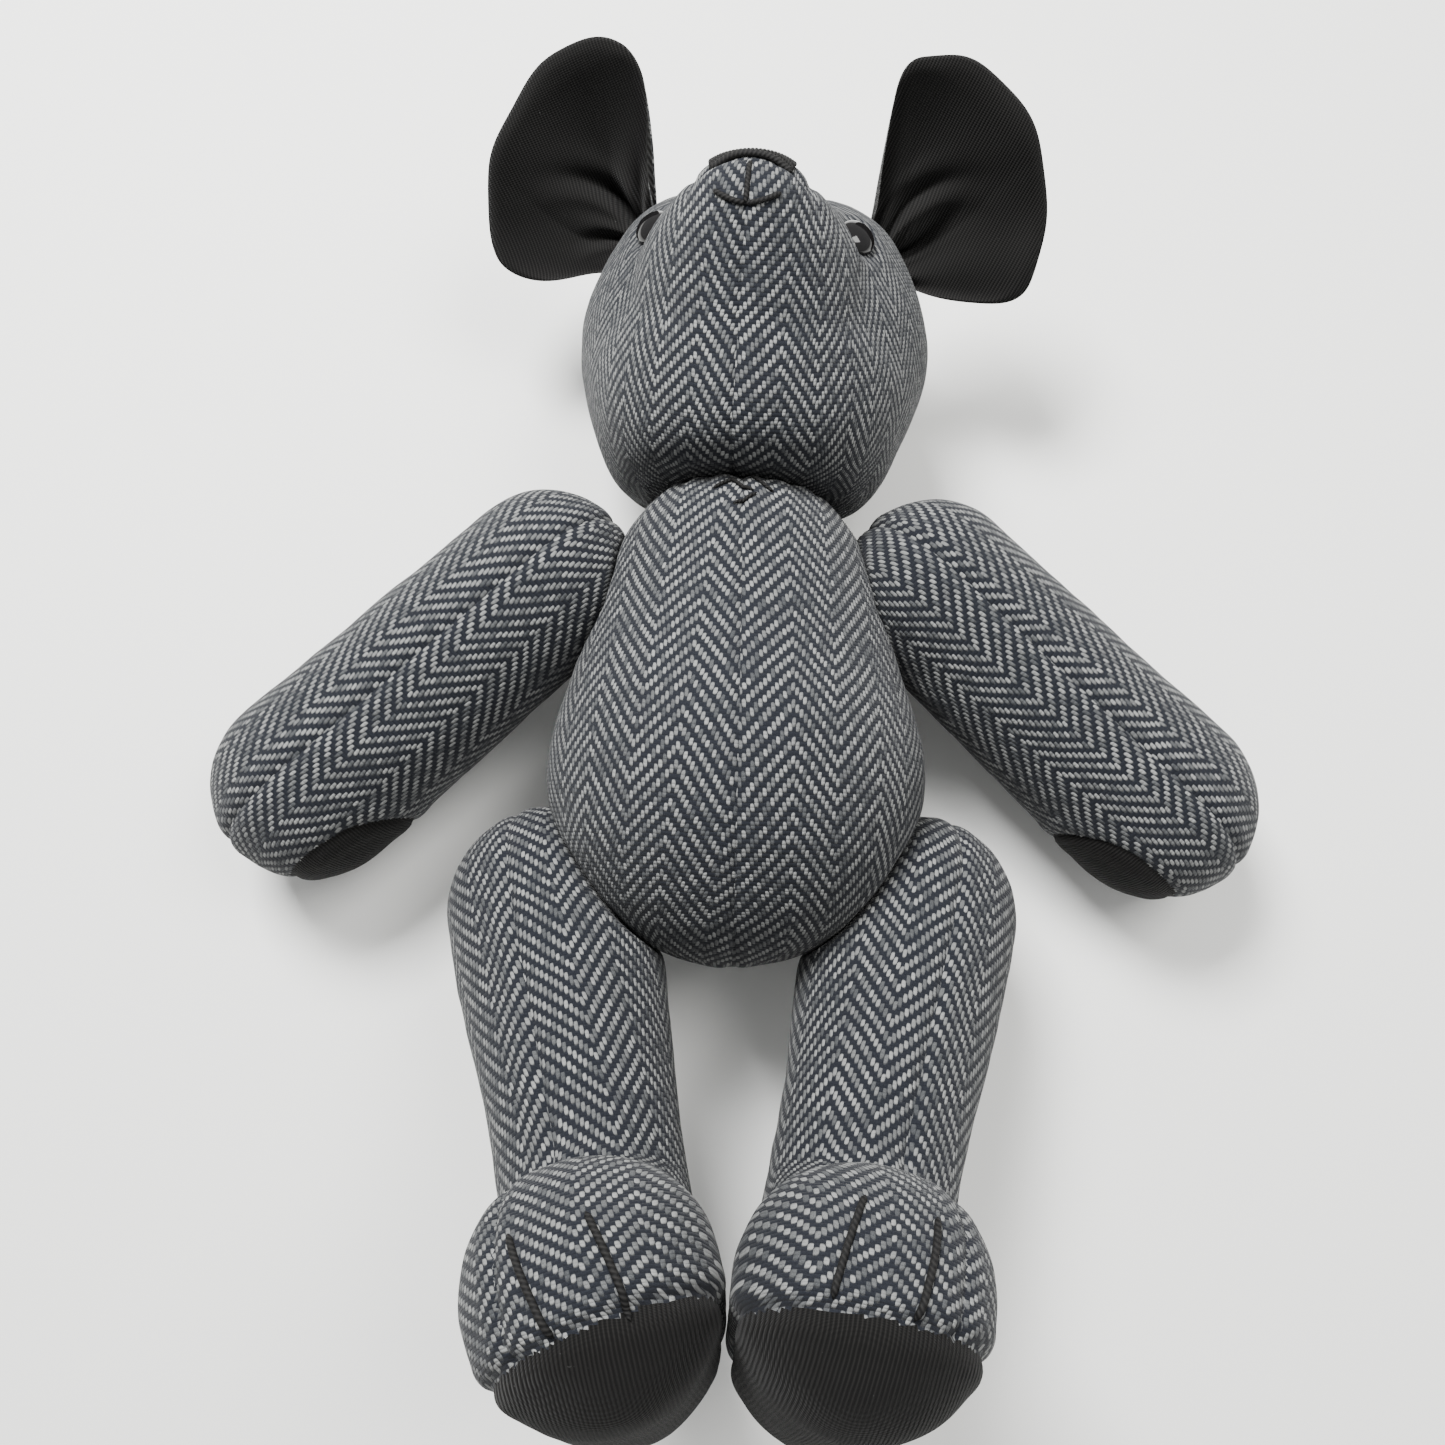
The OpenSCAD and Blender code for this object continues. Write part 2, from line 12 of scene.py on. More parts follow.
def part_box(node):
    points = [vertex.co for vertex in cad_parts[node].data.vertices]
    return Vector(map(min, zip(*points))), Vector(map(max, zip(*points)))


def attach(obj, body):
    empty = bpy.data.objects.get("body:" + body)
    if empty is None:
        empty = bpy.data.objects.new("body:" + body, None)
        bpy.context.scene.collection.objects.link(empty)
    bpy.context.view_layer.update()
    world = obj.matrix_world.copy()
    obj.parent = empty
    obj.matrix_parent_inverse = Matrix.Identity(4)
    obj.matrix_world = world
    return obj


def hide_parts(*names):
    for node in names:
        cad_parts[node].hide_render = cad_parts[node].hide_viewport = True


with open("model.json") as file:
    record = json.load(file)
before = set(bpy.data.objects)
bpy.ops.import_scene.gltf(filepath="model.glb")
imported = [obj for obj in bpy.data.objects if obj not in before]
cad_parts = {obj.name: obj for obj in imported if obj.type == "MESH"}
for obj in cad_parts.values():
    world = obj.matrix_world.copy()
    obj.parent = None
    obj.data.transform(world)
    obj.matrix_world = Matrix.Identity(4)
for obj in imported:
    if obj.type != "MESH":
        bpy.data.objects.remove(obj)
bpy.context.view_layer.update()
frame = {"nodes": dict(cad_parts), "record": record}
NODES = frame["nodes"]


def unit(v):
    v = np.asarray(v, float)
    return v / np.linalg.norm(v)


def joint(name):
    for j in frame["record"]["behaviour"]["joints"]:
        if j["name"] == name:
            return np.array(j["pos_m"]), unit(j["axis"])


# ---------------------------------------------------------------- materials


class Nodes:
    """Short calls for building a node tree."""

    def __init__(self, name):
        self.mat = bpy.data.materials.new(name)
        self.mat.use_nodes = True
        self.tree = self.mat.node_tree
        self.bsdf = self.tree.nodes["Principled BSDF"]

    def add(self, kind, **props):
        n = self.tree.nodes.new(kind)
        for k, v in props.items():
            setattr(n, k, v)
        return n

    def link(self, a, b):
        self.tree.links.new(a, b)

    def math(self, op, a, b=None):
        n = self.add("ShaderNodeMath", operation=op)
        for i, v in enumerate((a, b)):
            if v is None:
                continue
            if isinstance(v, (int, float)):
                n.inputs[i].default_value = v
            else:
                self.link(v, n.inputs[i])
        return n.outputs[0]

    def plus(self, a, b):
        return self.math("ADD", a, b)

    def minus(self, a, b):
        return self.math("SUBTRACT", a, b)

    def times(self, a, b):
        return self.math("MULTIPLY", a, b)

    def over(self, a, b):
        return self.math("DIVIDE", a, b)

    def power(self, a, b):
        return self.math("POWER", a, b)

    def wave(self, phase):
        """A sine, from 0 to 1."""
        return self.plus(self.times(self.math("SINE", phase), 0.5), 0.5)

    def place(self):
        return self.add("ShaderNodeTexCoord").outputs["Object"]

    def weave_place(self):
        """Across and along the cloth, from its weave map, in metres."""
        sep = self.add("ShaderNodeSeparateXYZ")
        self.link(self.add("ShaderNodeUVMap", uv_map="weave").outputs[0], sep.inputs[0])
        return sep.outputs[0], sep.outputs[1]

    def smooth(self, v, lo, hi):
        n = self.add("ShaderNodeMapRange", interpolation_type="SMOOTHSTEP")
        self.link(v, n.inputs[0])
        n.inputs[1].default_value = lo
        n.inputs[2].default_value = hi
        return n.outputs[0]

    def mix(self, f, a, b):
        n = self.add("ShaderNodeMix", data_type="RGBA")
        if isinstance(f, (int, float)):
            n.inputs[0].default_value = f
        else:
            self.link(f, n.inputs[0])
        for i, v in ((6, a), (7, b)):
            if isinstance(v, tuple):
                n.inputs[i].default_value = (*v, 1)
            else:
                self.link(v, n.inputs[i])
        return n.outputs[2]

    def noise(self, vec, scale, detail=2.0, rough=0.5):
        n = self.add("ShaderNodeTexNoise")
        n.inputs["Scale"].default_value = scale
        n.inputs["Detail"].default_value = detail
        n.inputs["Roughness"].default_value = rough
        self.link(vec, n.inputs["Vector"])
        return n.outputs["Fac"]

    def combine(self, x, y, z=0.0):
        n = self.add("ShaderNodeCombineXYZ")
        for i, v in enumerate((x, y, z)):
            if isinstance(v, (int, float)):
                n.inputs[i].default_value = v
            else:
                self.link(v, n.inputs[i])
        return n.outputs[0]

    def white(self, vec):
        n = self.add("ShaderNodeTexWhiteNoise", noise_dimensions="3D")
        self.link(vec, n.inputs["Vector"])
        return n.outputs["Value"]

    def bump(self, height, distance, strength):
        n = self.add("ShaderNodeBump")
        n.inputs["Strength"].default_value = strength
        n.inputs["Distance"].default_value = distance
        self.link(height, n.inputs["Height"])
        return n.outputs["Normal"]


# the tweed's yarns, in millimetres and counts
WARP, PICK = 1.1, 1.25
COLUMN_ENDS, REPEAT = 13.0, 4.0
TO_MM = 1000.0


def tweed_material(name="tweed"):
    """Herringbone: light warp floats over two dark picks, the twill turning at each column."""
    m = Nodes(name)
    place = m.place()
    across, along = m.weave_place()
    # a slight wander, so that no line is ruler straight
    u = m.plus(m.times(across, TO_MM), m.times(m.minus(m.noise(place, 55.0, 2.0), 0.5), 1.6))
    v = m.plus(m.times(along, TO_MM), m.times(m.minus(m.noise(place, 61.0, 2.0), 0.5), 2.2))
    end = m.over(u, WARP)
    column = m.math("FLOOR", m.over(end, COLUMN_ENDS))
    end_no = m.math("FLOOR", end)
    turn = m.minus(m.times(m.math("MODULO", m.math("ABSOLUTE", column), 2.0), 2.0), 1.0)
    run = m.plus(m.plus(m.over(v, PICK), m.times(end_no, turn)), m.times(column, 2.0))
    t = m.math("FLOORED_MODULO", run, REPEAT)
    # the float leans a little, as the yarn's twist does
    lean = m.times(m.minus(t, 1.0), m.times(turn, 0.16))
    wide = m.times(m.math("ABSOLUTE", m.minus(m.minus(m.math("FRACT", end), lean), 0.5)), 2.0)
    yarn = m.white(m.combine(end_no, m.math("FLOOR", m.over(run, REPEAT))))
    long = m.times(m.math("ABSOLUTE", m.minus(t, 1.0)), m.plus(m.times(yarn, 0.34), 0.82))
    body = m.plus(m.power(m.times(wide, 0.86), 2.4), m.power(m.times(long, 0.98), 2.8))
    fray = m.noise(m.combine(m.times(u, 3.0), m.times(v, 1.2)), 1.6, 3.0, 0.7)
    light = m.smooth(m.plus(body, m.times(m.minus(fray, 0.5), 1.5)), 1.35, 0.45)
    # dark picks between
    in_pick = m.math("FRACT", m.over(v, PICK))
    pick = m.minus(1.0, m.power(m.times(m.math("ABSOLUTE", m.minus(in_pick, 0.5)), 2.0), 2.0))
    # each yarn's own shade, and slow mottling
    ply = m.noise(m.combine(m.times(u, 4.0), m.plus(m.times(v, 1.6), m.times(u, 2.4))), 1.5, 2.0, 0.6)
    mottle = m.noise(place, 28.0, 3.0)
    shade = m.plus(m.times(yarn, 0.62), m.plus(m.times(ply, 0.5), m.times(mottle, 0.3)))
    lights = m.mix(m.smooth(shade, 0.25, 1.1), (0.030, 0.033, 0.037), (0.232, 0.236, 0.231))
    heather = m.noise(m.combine(u, v), 2.6, 3.0, 0.7)
    darks = m.mix(m.smooth(heather, 0.3, 0.8), (0.0032, 0.0043, 0.0080), (0.0185, 0.0215, 0.029))
    # painted shade: the colour darkens towards near black in the hollows round each float, where shade falls
    painted_float_shade = m.times(m.minus(1.0, m.smooth(body, 1.9, 0.7)), 0.35)
    m.link(m.mix(painted_float_shade, m.mix(light, darks, lights), (0.005, 0.006, 0.009)), m.bsdf.inputs["Base Color"])
    crown = m.power(m.minus(1.0, m.math("MINIMUM", body, 1.0)), 0.5)
    height = m.plus(m.plus(crown, m.times(pick, 0.28)), m.times(fray, 0.35))
    m.link(m.bump(height, 0.00055, 0.9), m.bsdf.inputs["Normal"])
    m.bsdf.inputs["Roughness"].default_value = 0.92
    m.bsdf.inputs["Sheen Weight"].default_value = 0.07
    m.bsdf.inputs["Sheen Roughness"].default_value = 0.45
    m.bsdf.inputs["Specular IOR Level"].default_value = 0.25
    return m.mat


def rib_material(name="black_cloth"):
    """Fine ribbed black cloth; the ribs follow the piece's own weave map."""
    rib_pitch, cross_pitch = 0.95, 0.62
    m = Nodes(name)
    place = m.place()
    across, along = m.weave_place()
    u = m.plus(m.times(across, TO_MM), m.times(m.minus(m.noise(place, 70.0, 2.0), 0.5), 0.9))
    v = m.times(along, TO_MM)
    rib = m.wave(m.times(u, 2 * math.pi / rib_pitch))
    cross = m.wave(m.times(v, 2 * math.pi / cross_pitch))
    fuzz = m.noise(m.combine(u, v), 2.4, 3.0, 0.7)
    mottle = m.noise(place, 40.0, 3.0)
    # the colour is lighter on the rib crests, and where the fuzz and mottling rise
    rib_crest_tone = m.plus(m.times(m.power(rib, 1.6), 0.55), m.plus(m.times(fuzz, 0.35), m.times(mottle, 0.25)))
    colour = m.mix(m.smooth(rib_crest_tone, 0.2, 1.05), (0.0026, 0.0025, 0.0024), (0.0130, 0.0124, 0.0117))
    lint = m.smooth(m.noise(place, 900.0, 1.0), 0.79, 0.83)
    m.link(m.mix(m.times(lint, 0.2), colour, (0.12, 0.12, 0.12)), m.bsdf.inputs["Base Color"])
    height = m.plus(rib, m.plus(m.times(cross, 0.25), m.times(fuzz, 0.4)))
    m.link(m.bump(height, 0.0003, 1.0), m.bsdf.inputs["Normal"])
    m.bsdf.inputs["Roughness"].default_value = 0.9
    m.bsdf.inputs["Sheen Weight"].default_value = 0.04
    m.bsdf.inputs["Sheen Roughness"].default_value = 0.5
    m.bsdf.inputs["Specular IOR Level"].default_value = 0.12
    return m.mat


def grain_material(name, lo, hi, rough, scale, metallic=0.0, bump=0.0002, stretch=(1, 1, 1)):
    """A plain material with a fine grain, for the pieces inside."""
    m = Nodes(name)
    mp = m.add("ShaderNodeMapping")
    mp.inputs["Scale"].default_value = stretch
    m.link(m.place(), mp.inputs[0])
    f = m.noise(mp.outputs[0], scale, 4.0, 0.6)
    m.link(m.mix(f, lo, hi), m.bsdf.inputs["Base Color"])
    m.link(m.bump(f, bump, 0.6), m.bsdf.inputs["Normal"])
    m.bsdf.inputs["Roughness"].default_value = rough
    m.bsdf.inputs["Metallic"].default_value = metallic
    return m.mat


def thread_material(name="black_thread"):
    """Twisted thread: the ply winds round it twice in each turn of its map."""
    ply_pitch = 1.3
    m = Nodes(name)
    around, along = m.weave_place()
    ply = m.wave(m.plus(m.times(around, 2 * math.pi * 2), m.times(along, TO_MM * 2 * math.pi / ply_pitch)))
    m.link(m.mix(ply, (0.0022, 0.0022, 0.0024), (0.012, 0.0115, 0.011)), m.bsdf.inputs["Base Color"])
    m.link(m.bump(ply, 0.00018, 0.8), m.bsdf.inputs["Normal"])
    m.bsdf.inputs["Roughness"].default_value = 0.75
    m.bsdf.inputs["Specular IOR Level"].default_value = 0.2
    return m.mat


def gloss_material(name="eye_gloss"):
    """Polished black plastic."""
    m = Nodes(name)
    tint = m.noise(m.place(), 900.0, 2.0)
    m.link(m.mix(tint, (0.004, 0.004, 0.0045), (0.0075, 0.007, 0.007)), m.bsdf.inputs["Base Color"])
    m.bsdf.inputs["Roughness"].default_value = 0.07
    m.bsdf.inputs["Specular IOR Level"].default_value = 0.5
    return m.mat


TWEED = tweed_material()
RIB = rib_material()
THREAD = thread_material()
GLOSS = gloss_material()
STUFF = grain_material("stuffing", (0.7, 0.69, 0.66), (0.9, 0.89, 0.86), 0.95, 300.0, bump=0.001)
BOARD = grain_material("hardboard", (0.17, 0.095, 0.045), (0.36, 0.22, 0.12), 0.8, 420.0)
STEEL = grain_material("pin_steel", (0.5, 0.5, 0.5), (0.7, 0.7, 0.69), 0.35, 500.0, metallic=1.0,
                       bump=0.00005, stretch=(1, 1, 12))
PLASTIC = grain_material("lock_plastic", (0.7, 0.7, 0.68), (0.8, 0.8, 0.78), 0.5, 600.0, bump=0.00003)
SLOT_MATERIAL = {"stuffing": STUFF, "hardboard": BOARD, "pin_steel": STEEL, "lock_plastic": PLASTIC,
                 "tweed": TWEED, "black_cloth": RIB, "black_thread": THREAD, "eye_gloss": GLOSS}
for sub in frame["record"]["subparts"]:
    o = NODES[sub["node"]]
    mat = SLOT_MATERIAL[sub["material_slot"]]
    if not o.data.materials:
        o.data.materials.append(mat)
    for k in range(len(o.material_slots)):
        o.material_slots[k].link = "OBJECT"
        o.material_slots[k].material = mat

# ---------------------------------------------------------------- mesh helpers


def node_arrays(names):
    vs, fs, k = [], [], 0
    for n in names:
        me = NODES[n].data
        co = np.empty(len(me.vertices) * 3)
        me.vertices.foreach_get("co", co)
        vs.append(co.reshape(-1, 3))
        fs += [tuple(i + k for i in p.vertices) for p in me.polygons]
        k += len(me.vertices)
    return np.vstack(vs), fs


def node_points(name):
    return node_arrays([name])[0]


def basis(axis):
    a = unit(axis)
    x = unit(np.cross(a, (0, 0, 1) if abs(a[2]) < 0.9 else (1, 0, 0)))
    return x, np.cross(a, x), a


def plug_arrays(centre, axis, radius, depth, sides=28):
    """A closed cylinder from centre along axis, which fills a joint's pocket."""
    x, y, a = basis(axis)
    ang = np.linspace(0, 2 * math.pi, sides, endpoint=False)
    ring = np.outer(np.cos(ang), x) + np.outer(np.sin(ang), y)
    v = np.vstack([centre + radius * ring, centre + radius * ring + a * depth])
    f = [tuple(range(sides))[::-1], tuple(range(sides, 2 * sides))]
    f += [(i, (i + 1) % sides, sides + (i + 1) % sides, sides + i) for i in range(sides)]
    return v, f


def make_object(name, verts, faces, material):
    me = bpy.data.meshes.new(name)
    me.from_pydata([tuple(v) for v in verts], [], faces)
    me.validate()
    me.update()
    ob = bpy.data.objects.new(name, me)
    bpy.context.scene.collection.objects.link(ob)
    if material is not None:
        me.materials.append(material)
    me.polygons.foreach_set("use_smooth", [True] * len(me.polygons))
    return ob


def bake_modifiers(ob):
    dg = bpy.context.evaluated_depsgraph_get()
    me = bpy.data.meshes.new_from_object(ob.evaluated_get(dg))
    ob.modifiers.clear()
    old = ob.data
    ob.data = me
    bpy.data.meshes.remove(old)


def coords(me):
    co = np.empty(len(me.vertices) * 3)
    me.vertices.foreach_get("co", co)
    return co.reshape(-1, 3)


def normals(me):
    no = np.empty(len(me.vertices) * 3)
    me.vertices.foreach_get("normal", no)
    return no.reshape(-1, 3)


def set_coords(me, co):
    me.vertices.foreach_set("co", co.ravel())
    me.update()


def edge_ends(me):
    e = np.empty(len(me.edges) * 2, int)
    me.edges.foreach_get("vertices", e)
    return e.reshape(-1, 2)


def neighbour_mean(co, e):
    """The middle of each vertex's neighbours."""
    n = len(co)
    total = np.zeros_like(co)
    for d in range(3):
        total[:, d] = np.bincount(e[:, 0], co[e[:, 1], d], n) + np.bincount(e[:, 1], co[e[:, 0], d], n)
    return total / np.bincount(e.ravel(), minlength=n).astype(float)[:, None]


def outer_island(me):
    """Keeps only the island with the largest box: the outside of a remeshed form."""
    e, co = edge_ends(me), coords(me)
    lab = np.arange(len(co))
    while True:
        m = np.minimum(lab[e[:, 0]], lab[e[:, 1]])
        new = lab.copy()
        np.minimum.at(new, e[:, 0], m)
        np.minimum.at(new, e[:, 1], m)
        new = new[new]
        if (new == lab).all():
            break
        lab = new
    best = max(np.unique(lab), key=lambda k: np.prod(np.ptp(co[lab == k], axis=0)))
    keep = lab == best
    bm = bmesh.new()
    bm.from_mesh(me)
    bm.verts.ensure_lookup_table()
    bmesh.ops.delete(bm, geom=[v for v in bm.verts if not keep[v.index]], context="VERTS")
    bm.to_mesh(me)
    bm.free()


def relax(me, rounds, shrink=0.55, grow=-0.57):
    """Smooths a mesh without shrinking it."""
    e, co = edge_ends(me), coords(me)
    for _ in range(rounds):
        for w in (shrink, grow):
            co = co + w * (neighbour_mean(co, e) - co)
    set_coords(me, co)


def melt(me, weight, rounds, full):
    """Rounds a form over strongly where weight is high; full puts back the fullness that costs."""
    e, old, no = edge_ends(me), coords(me), normals(me)
    co = old.copy()
    for _ in range(rounds):
        co = co + 0.6 * (neighbour_mean(co, e) - co)
    w = weight(old)[:, None]
    lost = np.median(np.sum((old - co) * no, axis=1)[w[:, 0] > 0.5]) if full else 0.0
    set_coords(me, old + w * (co + lost * no - old))


VOXEL = 0.0021


def soft_form(name, nodes, plugs, rounds=14, weight=None, strong=0, full=True):
    """The stuffed form of a body: its CAD pieces merged, rounded over and made fine."""
    v, f = node_arrays(nodes)
    for p in plugs:
        pv, pf = plug_arrays(*p)
        f = f + [tuple(i + len(v) for i in q) for q in pf]
        v = np.vstack([v, pv])
    ob = make_object(name, v, f, None)
    r = ob.modifiers.new("r", "REMESH")
    r.mode = "VOXEL"
    r.voxel_size = VOXEL
    bake_modifiers(ob)
    outer_island(ob.data)
    relax(ob.data, rounds)
    if weight is not None:
        melt(ob.data, weight, strong, full)
    s = ob.modifiers.new("s", "SUBSURF")
    s.levels = 1
    bake_modifiers(ob)
    return ob


def split_planes(ob, planes):
    """Cuts edges along each seam plane, with nothing removed."""
    bm = bmesh.new()
    bm.from_mesh(ob.data)
    for p, n in planes:
        geom = bm.verts[:] + bm.edges[:] + bm.faces[:]
        bmesh.ops.bisect_plane(bm, geom=geom, dist=2e-5, plane_co=Vector(p), plane_no=Vector(n))
    bm.to_mesh(ob.data)
    bm.free()


def wobble(co, scale, seed):
    off = Vector((seed * 3.17, seed * 1.31, seed * 7.7))
    return np.array([noise.noise(Vector(p) * (1.0 / scale) + off) for p in co])


def uneven(co, seed, fine_seed, scale=0.026):
    """The slight lumps of hand stuffing."""
    return 0.0006 * wobble(co, scale, seed) + 0.00025 * wobble(co, 0.009, fine_seed)


def seam_profile(d, depth, width, puff):
    """A sewn valley with the cloth standing a little proud beside it."""
    return -depth * np.exp(-(d / width) ** 2) + puff * np.exp(-((d - 0.0042) / 0.0024) ** 2)


def weave_map(me, origin, axis, front, fade=None):
    """Weave places in metres: across the cloth from the front seam, and along it."""
    a = unit(axis)
    f = unit(np.asarray(front) - np.dot(front, a) * a)
    co = coords(me) - origin
    s = co @ a
    x, y = co @ np.cross(a, f), co @ f
    rho = np.hypot(x, y)
    th = np.abs(np.arctan2(x, y))
    # the run along the cloth is measured on the front's own profile
    near = th < 0.6
    bins = np.linspace(s.min(), s.max(), 60)
    mid = 0.5 * (bins[1:] + bins[:-1])
    r = np.full(len(mid), np.nan)
    for k, (p, q) in enumerate(zip(bins[:-1], bins[1:])):
        band = near & (s >= p) & (s < q)
        if band.any():
            r[k] = rho[band].max()
    ok = ~np.isnan(r)
    r = np.interp(mid, mid[ok], r[ok])
    arc = np.concatenate([[0], np.cumsum(np.hypot(np.diff(mid), np.diff(r)))])
    v = np.interp(s, mid, arc) + np.where(s < mid[0], s - mid[0], 0) + np.where(s > mid[-1], s - mid[-1], 0)
    if fade is not None:
        v = s + (v - np.interp(0.02, mid, arc) + 0.02 - s) * np.exp(-(th / fade) ** 4)
    return th * rho, v


def write_sides(me, u, v, turns, shifts, about, is_left):
    """Writes the weave for two panels that meet at the front seam, each face from its own side."""
    lay = me.uv_layers.new(name="weave")
    idx = np.empty(len(me.loops), int)
    me.loops.foreach_get("vertex_index", idx)
    total = np.empty(len(me.polygons), int)
    me.polygons.foreach_get("loop_total", total)
    left = np.repeat(is_left, total)
    pair = []
    w = v - about
    for angle, (du, dv) in zip(turns, shifts):
        ca, sa = math.cos(math.radians(angle)), math.sin(math.radians(angle))
        pair.append(np.stack([u * ca + w * sa + du, w * ca - u * sa + dv], 1))
    lay.data.foreach_set("uv", np.where(left[:, None], pair[0][idx], pair[1][idx]).ravel())


def write_uv(me, u, v):
    lay = me.uv_layers.get("weave") or me.uv_layers.new(name="weave")
    idx = np.empty(len(me.loops), int)
    me.loops.foreach_get("vertex_index", idx)
    uv = np.stack([u[idx], v[idx]], 1)
    lay.data.foreach_set("uv", uv.ravel())


def face_centres(me):
    c = np.empty(len(me.polygons) * 3)
    me.polygons.foreach_get("center", c)
    return c.reshape(-1, 3)


def carve(ob, name, keep, material, nodes, body):
    """Makes one panel out of the faces of a form that keep picks."""
    me = ob.data.copy()
    me.name = name
    bm = bmesh.new()
    bm.from_mesh(me)
    bm.faces.ensure_lookup_table()
    bmesh.ops.delete(bm, geom=[f for f in bm.faces if not keep[f.index]], context="FACES")
    bm.to_mesh(me)
    bm.free()
    piece = bpy.data.objects.new(name, me)
    bpy.context.scene.collection.objects.link(piece)
    me.materials.clear()
    me.materials.append(material)
    me.polygons.foreach_set("use_smooth", [True] * len(me.polygons))
    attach(piece, body)
    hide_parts(*nodes)
    return piece


def tube(name, paths, radius, body, nodes=()):
    """Threads along lists of points, as one mesh; each end is rounded over."""
    sides = 10
    verts, faces, places = [], [], []
    for pts in paths:
        pts = np.asarray(pts, float)
        n, base = len(pts), len(verts)
        tangent = np.gradient(pts, axis=0)
        run = np.concatenate([[0], np.cumsum(np.linalg.norm(np.diff(pts, axis=0), axis=1))])
        x = basis(tangent[0])[0]
        for i in range(n):
            t = unit(tangent[i])
            x = unit(x - np.dot(x, t) * t)
            y = np.cross(t, x)
            from_end = min(1, min(i, n - 1 - i) / 2.0)
            r = radius * (math.sqrt(max(0.0, 1 - (1 - from_end) ** 2)) * 0.85 + 0.15)
            for k in range(sides):
                w = 2 * math.pi * k / sides
                verts.append(pts[i] + r * (math.cos(w) * x + math.sin(w) * y))
                places.append((k / sides, run[i]))
        for i in range(n - 1):
            for k in range(sides):
                p, q = base + i * sides + k, base + i * sides + (k + 1) % sides
                faces.append((p, q, q + sides, p + sides))
        faces.append(tuple(base + k for k in range(sides))[::-1])
        faces.append(tuple(base + (n - 1) * sides + k for k in range(sides)))
    ob = make_object(name, verts, faces, THREAD)
    places = np.array(places)
    write_uv(ob.data, places[:, 0], places[:, 1])
    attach(ob, body)
    if nodes:
        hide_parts(*nodes)


def surface_tree(ob):
    me = ob.data
    return BVHTree.FromPolygons([v.co.copy() for v in me.vertices], [tuple(p.vertices) for p in me.polygons])


def hit(tree, origin, direction, reach=0.3):
    """The outermost surface point seen along a ray from origin outwards."""
    d = Vector(unit(direction))
    p = tree.ray_cast(Vector(origin) + d * reach, -d, reach)[0]
    return np.array(p if p else origin)


# ---------------------------------------------------------------- sewing sizes, in metres

SIDES = ("left", "right")
SIGN = {"left": 1, "right": -1}
NO_SEAM = 1.0  # a distance at which a seam leaves no trace
MID_SEAM = dict(depth=0.0008, width=0.0011, puff=0.00025)
SIDE_SEAM = dict(depth=0.0009, width=0.0013, puff=0.0003)
LIMB_SEAM = dict(depth=0.0009, width=0.0012, puff=0.0003)
PAD_SEAM = dict(depth=0.0008, width=0.0011, puff=0.0003)
SOLE_SEAM = dict(depth=0.0012, width=0.0014, puff=0.0005)
# the joints' pockets are filled before a form is rounded, each a little back from its joint
NECK_POCKET_R, SHOULDER_POCKET_R, HIP_POCKET_R, EYE_POCKET_R = 0.022, 0.0145, 0.0215, 0.009
BODY_POCKET_DEEP, ARM_POCKET_DEEP, LEG_POCKET_DEEP, EYE_POCKET_DEEP = 0.016, 0.014, 0.012, 0.013
NECK_BACK, POCKET_BACK = 0.0008, 0.0012
HEAD_ROOM, TORSO_ROOM = 0.0004, 0.0003  # each side's clearance from the neck joint's plane
THREAD_R = 0.00078


def limb_joint(side, kind):
    """A limb's joint, with its axis turned to point out of the torso."""
    p, a = joint(f"{side}_{kind}")
    return p, a if a[0] * SIGN[side] > 0 else -a


neck_p, neck_a = joint("neck")

# ---------------------------------------------------------------- torso


def thread_ends(tree):
    """Loose ends of the closing thread, on the chest in front of the neck."""
    ends = []
    # each end runs from (x, angle) to (x, angle): metres from the middle, and degrees off the neck's axis
    for x0, a0, x1, a1 in ((-0.004, 46, 0.003, 54), (0.002, 45, 0.009, 52),
                           (-0.009, 52, -0.002, 46), (0.004, 55, -0.003, 60)):
        row = []
        for t in np.linspace(0, 1, 8):
            angle = math.radians(a0 + (a1 - a0) * t)
            d = np.array((0, math.cos(angle), math.sin(angle)))
            start = neck_p + np.array((x0 + (x1 - x0) * t, -0.040, -0.012))
            row.append(hit(tree, start, d, 0.09) + d * 0.0006)
        ends.append(row)
    tube("neck_thread_ends", ends, 0.00055, "torso")


